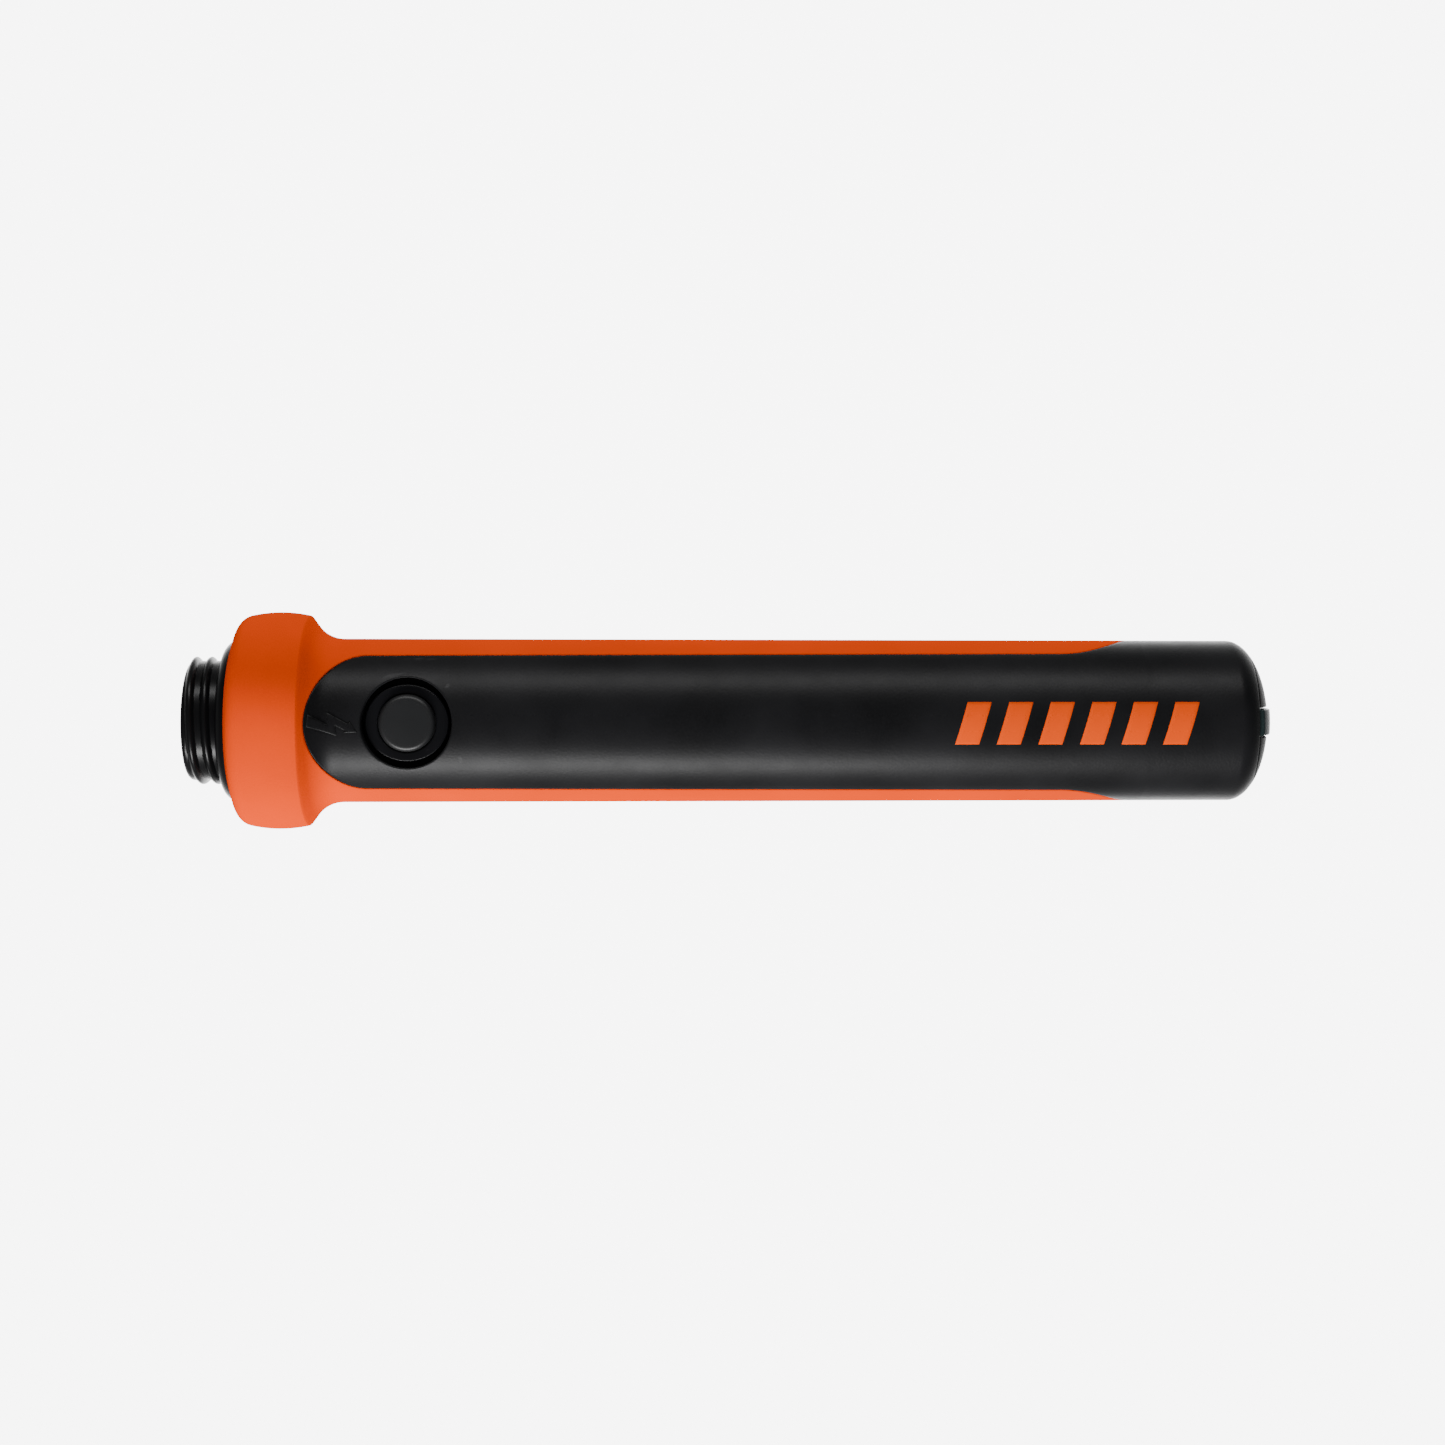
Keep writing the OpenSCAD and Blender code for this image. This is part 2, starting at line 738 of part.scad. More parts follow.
// Hollow winding about X
module winding(x0, x1, build) {
    inner_r = ferrite_r + hair + former_wall + 0.02;
    difference() {
        rod(x0, x1, inner_r + build);
        rod(x0 - 1, x1 + 1, inner_r);
    }
}

module transmit_winding() {
    color([0.72, 0.4, 0.18])
        winding(coil_mid_x - former_rib_x + hair, coil_mid_x + former_rib_x - hair, 2.4);
}

module receive_windings() {
    near = former_rib_x + former_rib_t + hair;
    away = coil_half - former_flange_t - hair;
    color([0.65, 0.3, 0.15])
    union() {
        winding(coil_mid_x + near, coil_mid_x + away, 1.6);
        winding(coil_mid_x - away, coil_mid_x - near, 1.6);
    }
}

// Wire through a few points, with round joints
module wire(points, r) {
    for (i = [0:len(points) - 2]) {
        d = points[i + 1] - points[i];
        translate(points[i])
            rotate([0, acos(d[2] / norm(d)), atan2(d[1], d[0])])
                cylinder(h = norm(d), r = r, $fn = 24);
    }
    for (i = [1:len(points) - 2])
        translate(points[i])
            sphere(r = r + 0.04, $fn = 24);
}

module wire_leads() {
    wire_r = 0.55;
    color([0.7, 0.1, 0.08])
    union() {
        for (y = [-3, 3])
            wire([[10, y, -1.05], [13, y, -0.6], [15, y, board_z - 0.65], [20, y, board_z - 0.65]], wire_r);
        for (y = [-2, 0, 2])
            wire([[board_x1 - 3, y, board_top + 0.6], [board_x1 + 1, y, board_top + 0.9],
                [coil_x0 - 2, y, 8.5], [coil_x0 - 0.02, y, 8.5]], wire_r);
    }
}

core_housing();
grip_sleeve();
threaded_neck();
neck_seal_ring();
nose_cap();
nose_seal_ring();
nose_bar();
nose_led();
panel_marks();
button_bezel();
button_cap();
stem_seal_ring();
switch_body();
switch_plunger();
chassis_tray();
main_board();
board_screws();
board_chips();
buzzer();
battery_cell();
battery_contacts();
motor_can();
motor_shaft();
eccentric_weight();
end_board();
charge_port_shell();
charge_port_tongue();
ferrite_core();
coil_former();
transmit_winding();
receive_windings();
wire_leads();
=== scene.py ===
"""Looks of the pinpointer probe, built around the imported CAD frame. Shapes are worked out in millimetres."""

import math

import bmesh
import bpy
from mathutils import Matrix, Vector


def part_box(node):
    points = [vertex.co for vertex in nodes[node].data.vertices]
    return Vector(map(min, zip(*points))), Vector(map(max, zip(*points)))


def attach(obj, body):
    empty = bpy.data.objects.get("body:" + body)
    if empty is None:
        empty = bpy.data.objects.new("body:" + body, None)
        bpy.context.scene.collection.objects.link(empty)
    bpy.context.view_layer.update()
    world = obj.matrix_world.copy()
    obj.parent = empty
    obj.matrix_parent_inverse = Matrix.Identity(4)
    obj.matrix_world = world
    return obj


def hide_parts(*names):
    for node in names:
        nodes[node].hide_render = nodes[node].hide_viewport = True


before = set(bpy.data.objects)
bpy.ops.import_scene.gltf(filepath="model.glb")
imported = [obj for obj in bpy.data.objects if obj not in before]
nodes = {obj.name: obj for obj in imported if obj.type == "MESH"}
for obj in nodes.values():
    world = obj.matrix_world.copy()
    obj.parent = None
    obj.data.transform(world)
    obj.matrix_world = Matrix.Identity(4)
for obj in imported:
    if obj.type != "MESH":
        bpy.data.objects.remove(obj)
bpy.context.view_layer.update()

MM = 0.001


def box_mm(node):
    """Lowest and highest corner of a CAD node, in millimetres."""
    low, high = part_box(node)
    return low / MM, high / MM


# ---------------------------------------------------------------- sizes, from the frame where it has them
sleeve_low, sleeve_high = box_mm("grip_sleeve")
housing_low = box_mm("core_housing")[0]
neck_low = box_mm("threaded_neck")[0]
nose_low, nose_high = box_mm("nose_cap")
bar_high = box_mm("nose_bar")[1]
bezel_low, bezel_high = box_mm("button_bezel")
cap_low, cap_high = box_mm("button_cap")
marks_low = box_mm("panel_marks")[0]

# Collar and body, along X from the neck to the tip
LIP_X = sleeve_low.x
COLLAR_R = sleeve_high.z
COLLAR_X = LIP_X + 8.7          # Where the collar is widest
BARREL_R = 26.0                 # Bulge of the collar along X
CORNER_R = 3.2                  # Its rear corner
CREASE_X = LIP_X + 14.4
FLARE_X = LIP_X + 21.1          # End of the flare that comes down from the crease
FLARE_R = 6.6
FLARE_ANGLE = math.radians(53)
REAR_R = 16.0                   # Body at the flare
FRONT_R = 15.6                  # Body at the dome
DOME_DEPTH = 7.45
BAR_PROUD = 0.55                # Height of the nose bar over the dome
DOME_X = bar_high.x - BAR_PROUD - DOME_DEPTH
SEAM_R = nose_high.y            # Rim of the nose cap

# Fit of the housing, the sleeve and the neck
CLEARANCE = 0.05
CORE_R = 14.7                   # Housing under the sleeve
BORE_R = 12.9                   # Inside of the housing
SLEEVE_INNER_R = CORE_R + CLEARANCE
FLANGE_BACK_X = housing_low.x
SHOULDER_R = 2.9                # Rounding of the neck's shoulder
SEAT_R = BORE_R + 0.1           # Where that rounding starts
COLLAR_BORE_R = SEAT_R + SHOULDER_R + CLEARANCE
NOSE_BORE_R = BORE_R - 0.5
GROOVE_W = 1.5                  # Grooves for the seal rings
GROOVE_DEPTH = 1.1

# Panel
PANEL_REAR_Z = REAR_R - 6.5     # Height of its long edge at the rear
PANEL_FRONT_Z = REAR_R - 7.5    # And where the edge sweeps down
SLEEVE_END_X = sleeve_high.x + 0.08
SWEEP_R = 15.83
SWEEP_X = SLEEVE_END_X - SWEEP_R
PANEL_X = 17.7
PANEL_END_LEN = 11.2
PANEL_END_X = PANEL_X + PANEL_END_LEN
PANEL_END_W = math.sqrt(REAR_R ** 2 - PANEL_REAR_Z ** 2)
EDGE = 0.22                     # Rounding along the panel's edge and the sleeve's window
PARTING = 0.05                  # Half the gap between panel and sleeve

# Button and its recess
BUTTON_X = (cap_low.x + cap_high.x) / 2
WELL_R = 8.65
WELL_Z = bezel_low.z
WELL_RIM = 0.4
BOSS_Z = WELL_Z - 1.6           # Underside of the boss that carries the recess
GUIDE_R = 2.1                   # Hole for the button's stem

# Fineness of the surfaces
SIDE_COLUMNS = 64
PANEL_COLUMNS = 22


# ---------------------------------------------------------------- outer form
barrel_c = COLLAR_R - BARREL_R
corner_x = LIP_X + 0.6 + CORNER_R
corner_c = barrel_c + math.sqrt((BARREL_R - CORNER_R) ** 2 - (corner_x - COLLAR_X) ** 2)
corner_turn = math.asin((COLLAR_X - corner_x) / (BARREL_R - CORNER_R))
crease_r = barrel_c + math.sqrt(BARREL_R ** 2 - (CREASE_X - COLLAR_X) ** 2)
flare_start_x = FLARE_X - FLARE_R * math.sin(FLARE_ANGLE)
flare_start_r = REAR_R + FLARE_R * (1 - math.cos(FLARE_ANGLE))


def arc(cx, cy, r, a0, a1, n):
    """Points of an arc, from angle a0 to a1 in radians, both ends included."""
    return [(cx + r * math.cos(a0 + (a1 - a0) * i / n), cy + r * math.sin(a0 + (a1 - a0) * i / n))
            for i in range(n + 1)]


def body_radius(x):
    """Radius of the body's surface at x, from the collar's crease to the nose."""
    if x <= CREASE_X:
        return crease_r
    if x < flare_start_x:
        return crease_r + (flare_start_r - crease_r) * (x - CREASE_X) / (flare_start_x - CREASE_X)
    if x < FLARE_X:
        return REAR_R + FLARE_R - math.sqrt(FLARE_R ** 2 - (FLARE_X - x) ** 2)
    if x < DOME_X:
        return REAR_R + (FRONT_R - REAR_R) * (x - FLARE_X) / (DOME_X - FLARE_X)
    return FRONT_R * math.sqrt(max(0.0, 1 - ((x - DOME_X) / DOME_DEPTH) ** 2))


def dome_height(y, z, push=0.0):
    """Place along X of the domed nose over (y, z)."""
    return DOME_X + push + DOME_DEPTH * math.sqrt(max(0.0, 1 - (y * y + z * z) / FRONT_R ** 2))


def at(x, r, theta):
    """Point on a circle about X. Theta is measured from +Z towards +Y."""
    return (x, r * math.sin(theta), r * math.cos(theta))


def turned(profile, angles):
    """Rows of points round X from (x, radius) points."""
    return [[at(x, r, a) for a in angles] for x, r in profile]


def full_turn(count):
    """Angles of a whole turn, evenly spaced."""
    return [2 * math.pi * j / count for j in range(count)]


def under_from(theta):
    """Angles from theta round to the underside."""
    return [theta + (math.pi - theta) * j / SIDE_COLUMNS for j in range(SIDE_COLUMNS + 1)]


def on_body(x, y, rise=0.0):
    """Point over (x, y) on the body's upper surface, lifted by rise."""
    return (x, y, math.sqrt(body_radius(x) ** 2 - y * y) + rise)


def mirror(point):
    return (point[0], -point[1], point[2])


# ---------------------------------------------------------------- the panel's edge
def edge_rows():
    """Parameters of the rows along the panel's edge, from its rear tip to the end of the sleeve."""
    rows = [("end", math.pi / 2 * i / 28) for i in range(29)]
    rows += [("side", PANEL_END_X + (SWEEP_X - PANEL_END_X) * i / 66) for i in range(1, 67)]
    rows += [("sweep", math.pi / 2 * i / 24) for i in range(1, 25)]
    return rows


ROWS = edge_rows()


def edge_point(row, grow):
    """(x, theta) of the panel's edge at a row, moved out of the panel by grow."""
    kind, value = row
    if kind == "end":
        x = PANEL_END_X - (PANEL_END_LEN + grow) * math.cos(value)
        y = (PANEL_END_W + grow) * math.sin(value)
        r = body_radius(x)
        return x, min(math.asin(min(1.0, y / r)), math.acos((PANEL_REAR_Z - grow) / r))
    if kind == "side":
        share = (value - PANEL_END_X) / (SWEEP_X - PANEL_END_X)
        z = PANEL_REAR_Z + (PANEL_FRONT_Z - PANEL_REAR_Z) * share - grow
        return value, math.acos(z / body_radius(value))
    x = SWEEP_X + (SWEEP_R - grow) * math.sin(value)
    z = PANEL_FRONT_Z - SWEEP_R + (SWEEP_R - grow) * math.cos(value)
    return x, math.acos(z / body_radius(x))


def below_edge(grow, radius=None):
    """Rows from the panel's edge round to the underside, on the body's surface or at one radius."""
    rows = []
    for row in ROWS:
        x, theta = edge_point(row, grow)
        rows.append([at(x, radius or body_radius(x), a) for a in under_from(theta)])
    return rows


def edge_strips(side, wall_r):
    """Rounded edge along the parting, and its wall to wall_r. Side is 1 on the sleeve, -1 on the panel."""
    quarter = [math.pi / 2 * k / 4 for k in range(5)]
    steps = [(PARTING + EDGE * (1 - math.sin(a)), EDGE * (1 - math.cos(a))) for a in quarter]
    steps.append((PARTING, None))
    strips = []
    for out, depth in steps:
        places = [edge_point(row, side * out) for row in ROWS]
        end_x, end_theta = places[-1]
        places += [(end_x, a) for a in under_from(end_theta)[1:]]
        strips.append([at(x, wall_r if depth is None else body_radius(x) - depth, a) for x, a in places])
    return strips


# ---------------------------------------------------------------- mesh building
WELD = 0.002                    # Points nearer than this are joined


class Sheet:
    """Collects rows of points into the faces of one mesh."""

    def __init__(self):
        self.points = []
        self.faces = []

    def add(self, point):
        self.points.append(point)
        return len(self.points) - 1

    def grid(self, rows, closed=False, flip=False):
        """Faces between rows of points of equal length. Closed joins each row's last point to its first."""
        index = [[self.add(p) for p in row] for row in rows]
        for a, b in zip(index, index[1:]):
            n = len(a)
            for j in range(n if closed else n - 1):
                k = (j + 1) % n
                face = (a[j], a[k], b[k], b[j])
                self.faces.append(face[::-1] if flip else face)
        return index

    def both_sides(self, rows, flip=False):
        """A grid and its mirror image across the XZ plane."""
        self.grid(rows, flip=flip)
        self.grid([[mirror(p) for p in row] for row in rows], flip=not flip)


def finish_piece(name, sheet, body, material, replaced, sharp=32):
    """Makes the object: welds, drops empty faces, shades smooth but for creases, and ties it to the frame."""
    mesh = bpy.data.meshes.new(name)
    mesh.from_pydata([(p[0] * MM, p[1] * MM, p[2] * MM) for p in sheet.points], [], sheet.faces)
    bm = bmesh.new()
    bm.from_mesh(mesh)
    bmesh.ops.remove_doubles(bm, verts=bm.verts, dist=WELD * MM)
    bmesh.ops.dissolve_degenerate(bm, edges=bm.edges, dist=WELD * MM / 2)
    bmesh.ops.recalc_face_normals(bm, faces=bm.faces)
    bm.to_mesh(mesh)
    bm.free()
    mesh.shade_smooth()
    mesh.set_sharp_from_angle(angle=math.radians(sharp))
    mesh.materials.append(material)
    piece = bpy.data.objects.new(name, mesh)
    bpy.context.scene.collection.objects.link(piece)
    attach(piece, body)
    if replaced:
        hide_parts(*replaced)


# ---------------------------------------------------------------- materials
def new_material(name):
    """Material, node tree, shader and object coordinates to build on."""
    material = bpy.data.materials.new(name)
    material.use_nodes = True
    tree = material.node_tree
    tree.nodes.clear()
    shader = tree.nodes.new("ShaderNodeBsdfPrincipled")
    output = tree.nodes.new("ShaderNodeOutputMaterial")
    tree.links.new(shader.outputs["BSDF"], output.inputs["Surface"])
    place = tree.nodes.new("ShaderNodeTexCoord").outputs["Object"]
    return material, tree, shader, place


def noise(tree, place, scale, detail=3.0, stretch=None):
    """Noise texture in object space. Scale is in turns per metre."""
    if stretch:
        mapping = tree.nodes.new("ShaderNodeMapping")
        mapping.inputs["Scale"].default_value = stretch
        tree.links.new(place, mapping.inputs["Vector"])
        place = mapping.outputs["Vector"]
    node = tree.nodes.new("ShaderNodeTexNoise")
    node.inputs["Scale"].default_value = scale
    node.inputs["Detail"].default_value = detail
    tree.links.new(place, node.inputs["Vector"])
    return node.outputs["Fac"]


def ramp(tree, source, stops):
    """Colour ramp from (position, colour) stops."""
    node = tree.nodes.new("ShaderNodeValToRGB")
    elements = node.color_ramp.elements
    while len(elements) < len(stops):
        elements.new(0.5)
    for element, (position, colour) in zip(elements, stops):
        element.position = position
        element.color = (*colour, 1)
    tree.links.new(source, node.inputs["Fac"])
    return node.outputs["Color"]


def mix(tree, factor, a, b):
    """Mix of two colours by a factor's socket. Each colour is a socket or a tuple."""
    node = tree.nodes.new("ShaderNodeMix")
    node.data_type = "RGBA"
    tree.links.new(factor, node.inputs[0])
    for socket, colour in ((node.inputs[6], a), (node.inputs[7], b)):
        if isinstance(colour, bpy.types.NodeSocket):
            tree.links.new(colour, socket)
        else:
            socket.default_value = (*colour, 1)
    return node.outputs[2]


def value_range(tree, source, low, high, start=0.0, end=1.0):
    """Maps start..end of the source onto low..high."""
    node = tree.nodes.new("ShaderNodeMapRange")
    node.inputs["From Min"].default_value = start
    node.inputs["From Max"].default_value = end
    node.inputs["To Min"].default_value = low
    node.inputs["To Max"].default_value = high
    tree.links.new(source, node.inputs["Value"])
    return node.outputs["Result"]


def bump(tree, height, strength, distance):
    node = tree.nodes.new("ShaderNodeBump")
    node.inputs["Strength"].default_value = strength
    node.inputs["Distance"].default_value = distance
    tree.links.new(height, node.inputs["Height"])
    return node.outputs["Normal"]


def edge_wear_and_highlight_mask(tree):
    """Bright along convex edges, from the mesh's own shape: edge wear, and a painted highlight along the
    edges.
    """
    geometry = tree.nodes.new("ShaderNodeNewGeometry")
    return value_range(tree, geometry.outputs["Pointiness"], 0.0, 1.0, 0.52, 0.6)


def moulded(name, base, rough=0.45, grain=0.35, grain_mm=0.16, vary=0.12, edge_wear_and_highlight=0.25, worn_and_lit_edge_colour=None, level=0.5):
    """Moulded plastic or rubber: spark-eroded grain, faint blotches, handling marks, and paler edges that are
    edge wear and a painted edge highlight.
    """
    material, tree, shader, place = new_material(name)
    darker = tuple(c * (1 - vary) for c in base)
    lighter = tuple(min(1.0, c * (1 + vary)) for c in base)
    blotch = noise(tree, place, 60, 4)
    colour = ramp(tree, blotch, [(0.3, darker), (0.7, lighter)])
    fine = noise(tree, place, 1 / (grain_mm * MM), 2)
    speck = value_range(tree, fine, 0.0, 0.35, 0.35, 0.75)
    colour = mix(tree, speck, colour, lighter)
    # Paler colour on convex edges, broken up by noise: edge wear, and a painted highlight along the edges
    worn_and_lit_edge_colour = worn_and_lit_edge_colour or tuple(min(1.0, c * 1.5 + 0.03) for c in base)
    wear_and_highlight_breakup = noise(tree, place, 900, 5, (0.4, 1, 1))
    mask = tree.nodes.new("ShaderNodeMath")
    mask.operation = "MULTIPLY"
    tree.links.new(edge_wear_and_highlight_mask(tree), mask.inputs[0])
    tree.links.new(value_range(tree, wear_and_highlight_breakup, 0.0, edge_wear_and_highlight * 2, 0.35, 0.75), mask.inputs[1])
    colour = mix(tree, mask.outputs[0], colour, worn_and_lit_edge_colour)
    tree.links.new(colour, shader.inputs["Base Color"])
    handled = noise(tree, place, 140, 5)
    roughness = value_range(tree, handled, rough - 0.02, rough + 0.03, 0.3, 0.7)
    tree.links.new(roughness, shader.inputs["Roughness"])
    shader.inputs["Specular IOR Level"].default_value = level
    tree.links.new(bump(tree, fine, grain, 0.03 * MM), shader.inputs["Normal"])
    return material


def metal(name, base, rough=0.3, brushed=(1, 30, 30)):
    """Drawn or brushed metal with fine lines along one way and faint stains."""
    material, tree, shader, place = new_material(name)
    lines = noise(tree, place, 900, 4, brushed)
    stain = noise(tree, place, 250, 4)
    tone = ramp(tree, stain, [(0.3, tuple(c * 0.82 for c in base)), (0.7, base)])
    colour = mix(tree, value_range(tree, lines, 0.0, 0.3, 0.3, 0.7), tone, tuple(c * 0.7 for c in base))
    tree.links.new(colour, shader.inputs["Base Color"])
    shader.inputs["Metallic"].default_value = 1.0
    roughness = value_range(tree, lines, rough - 0.08, rough + 0.12, 0.3, 0.7)
    tree.links.new(roughness, shader.inputs["Roughness"])
    tree.links.new(bump(tree, lines, 0.25, 0.02 * MM), shader.inputs["Normal"])
    return material


def circuit_board(name):
    """Green solder mask over copper tracks."""
    material, tree, shader, place = new_material(name)
    brick = tree.nodes.new("ShaderNodeTexBrick")
    brick.inputs["Scale"].default_value = 260
    brick.inputs["Mortar Size"].default_value = 0.03
    tree.links.new(place, brick.inputs["Vector"])
    mask = brick.outputs["Fac"]
    blotch = ramp(tree, noise(tree, place, 120, 3), [(0.3, (0.01, 0.11, 0.04)), (0.7, (0.02, 0.16, 0.06))])
    colour = mix(tree, mask, blotch, (0.05, 0.25, 0.1))
    tree.links.new(colour, shader.inputs["Base Color"])
    tree.links.new(value_range(tree, noise(tree, place, 900), 0.28, 0.4), shader.inputs["Roughness"])
    tree.links.new(bump(tree, mask, 0.3, 0.03 * MM), shader.inputs["Normal"])
    return material


def winding_wire(name):
    """Enamelled copper wire wound side by side about X."""
    material, tree, shader, place = new_material(name)
    wave = tree.nodes.new("ShaderNodeTexWave")
    wave.bands_direction = "X"
    wave.inputs["Scale"].default_value = 500
    wave.inputs["Distortion"].default_value = 0.6
    tree.links.new(place, wave.inputs["Vector"])
    turns = wave.outputs["Fac"]
    # The ramp paints shade in the grooves between turns and a painted highlight on each turn's crown
    tree.links.new(ramp(tree, turns, [(0.1, (0.2, 0.06, 0.02)), (0.8, (0.72, 0.33, 0.14))]),
                   shader.inputs["Base Color"])
    shader.inputs["Metallic"].default_value = 0.8
    tree.links.new(value_range(tree, noise(tree, place, 700), 0.25, 0.42), shader.inputs["Roughness"])
    tree.links.new(bump(tree, turns, 0.8, 0.1 * MM), shader.inputs["Normal"])
    return material


def clear_epoxy(name):
    """Cast lens of the light, slightly cloudy."""
    material, tree, shader, place = new_material(name)
    cloud = ramp(tree, noise(tree, place, 500, 3), [(0.3, (0.86, 0.88, 0.8)), (0.7, (0.97, 0.98, 0.93))])
    tree.links.new(cloud, shader.inputs["Base Color"])
    shader.inputs["Transmission Weight"].default_value = 0.85
    tree.links.new(value_range(tree, noise(tree, place, 900), 0.08, 0.2), shader.inputs["Roughness"])
    return material


# The pale edges of these plastics are edge wear, and a painted highlight such as the bright line on the recess
# rim
BLACK = moulded("black_spark_plastic", (0.004, 0.004, 0.0044), rough=0.4, grain=0.75, grain_mm=0.4,
                 vary=0.45, edge_wear_and_highlight=0.3, level=0.06)
NOSE_BLACK = moulded("black_nose_plastic", (0.003, 0.003, 0.0033), rough=0.46, grain=0.7, grain_mm=0.4,
                     edge_wear_and_highlight=0.3, level=0.05)
ORANGE = moulded("orange_satin", (0.42, 0.029, 0.0), rough=0.5, grain=0.4, grain_mm=0.45,
                 vary=0.06, edge_wear_and_highlight=0.2, worn_and_lit_edge_colour=(0.5, 0.05, 0.004), level=0.0)
MARK_ORANGE = moulded("orange_inlay", (0.44, 0.04, 0.0), rough=0.5, grain=0.2,
                      vary=0.05, edge_wear_and_highlight=0.1, worn_and_lit_edge_colour=(0.5, 0.06, 0.006), level=0.0)
NECK_BLACK = moulded("black_neck_plastic", (0.002, 0.002, 0.0022), rough=0.3, grain=0.12, grain_mm=0.3,
                     edge_wear_and_highlight=0.1, level=0.08)
BEZEL_BLACK = moulded("black_bezel_plastic", (0.002, 0.002, 0.0025), rough=0.34, grain=0.2,
                      edge_wear_and_highlight=0.06, level=0.09)
CAP_BLACK = moulded("black_cap_plastic", (0.0055, 0.0056, 0.006), rough=0.42, grain=0.4,
                    edge_wear_and_highlight=0.3, level=0.16)
BAR_GREY = moulded("grey_green_bar", (0.009, 0.0145, 0.015), rough=0.4, grain=0.15,
                   vary=0.15, edge_wear_and_highlight=0.15, level=0.05)


# ---------------------------------------------------------------- grip sleeve
def build_sleeve():
    """Collar, crease, flare and body of the sleeve, with the window for the panel."""
    sheet = Sheet()
    around = under_from(0.0)
    profile = [(FLANGE_BACK_X + CLEARANCE, SLEEVE_INNER_R), (FLANGE_BACK_X + CLEARANCE, COLLAR_BORE_R),
               (LIP_X + 0.1, COLLAR_BORE_R)]
    lip = 0.12
    profile += arc(LIP_X + lip, COLLAR_BORE_R + lip, lip, math.radians(270), math.radians(150), 4)
    profile += arc(corner_x, corner_c, CORNER_R, math.pi, math.pi / 2 + corner_turn, 14)
    crease_turn = math.asin((CREASE_X - COLLAR_X) / BARREL_R) * 0.97
    profile += arc(COLLAR_X, barrel_c, BARREL_R, math.pi / 2 + corner_turn, math.pi / 2 - crease_turn, 18)[1:]
    soft = 0.18
    profile += [(CREASE_X - soft * 0.4, crease_r + 0.01), (CREASE_X + soft * 0.4, crease_r - soft * 0.55)]
    grow = PARTING + EDGE
    tip_x = edge_point(ROWS[0], grow)[0]
    profile += [(x, body_radius(x)) for x in (CREASE_X + 0.45, CREASE_X + 0.8, tip_x)]
    sheet.both_sides(turned(profile, around))
    sheet.both_sides(below_edge(grow))
    sheet.both_sides(edge_strips(1, SLEEVE_INNER_R))
    # Inner face against the housing
    inner = turned([(FLANGE_BACK_X + CLEARANCE, SLEEVE_INNER_R), (PANEL_X - PARTING, SLEEVE_INNER_R)], around)
    sheet.both_sides(inner + below_edge(PARTING, SLEEVE_INNER_R), flip=True)
    finish_piece("grip_sleeve_shell", sheet, "probe", ORANGE, ["grip_sleeve"])


# ---------------------------------------------------------------- black housing
RING_BACK = 11.3                # Reach of the ring-shaped grid behind and in front of the button
RING_FRONT = 12.4
RING_COUNT = 24


def recess_rings(loop):
    """Rings from a loop on the panel, over the recess's rim, down to its floor and the stem's hole."""
    angles = [math.atan2(p[1], p[0] - BUTTON_X) for p in loop]
    rim_r = WELL_R + WELL_RIM
    rings = []
    for k in range(RING_COUNT + 1):
        share = 1 - (k / RING_COUNT) ** 1.15
        rings.append([on_body(p[0] * share + (BUTTON_X + rim_r * math.cos(a)) * (1 - share),
                              p[1] * share + rim_r * math.sin(a) * (1 - share))
                      for p, a in zip(loop, angles)])
    for k in range(1, 7):
        turn = math.pi / 2 * k / 6
        r = WELL_R + WELL_RIM * (1 - math.sin(turn))
        drop = WELL_RIM * 0.9 * (1 - math.cos(turn))
        rings.append([on_body(BUTTON_X + r * math.cos(a), r * math.sin(a), -drop) for a in angles])
    soft = 0.25
    for r, z in ((WELL_R, WELL_Z + soft), (WELL_R - soft * 0.3, WELL_Z + soft * 0.3), (WELL_R - soft, WELL_Z),
                 (5.0, WELL_Z), (GUIDE_R, WELL_Z), (GUIDE_R, BOSS_Z)):
        rings.append([(BUTTON_X + r * math.cos(a), r * math.sin(a), z) for a in angles])
    return rings


def bore_radius(x, a):
    """Radius of the bore, flattened where the boss carries the button's recess."""
    if math.cos(a) > 0 and math.hypot(x - BUTTON_X, BORE_R * math.sin(a)) < WELL_R + 1.4:
        return min(BORE_R, BOSS_Z / math.cos(a))
    return BORE_R


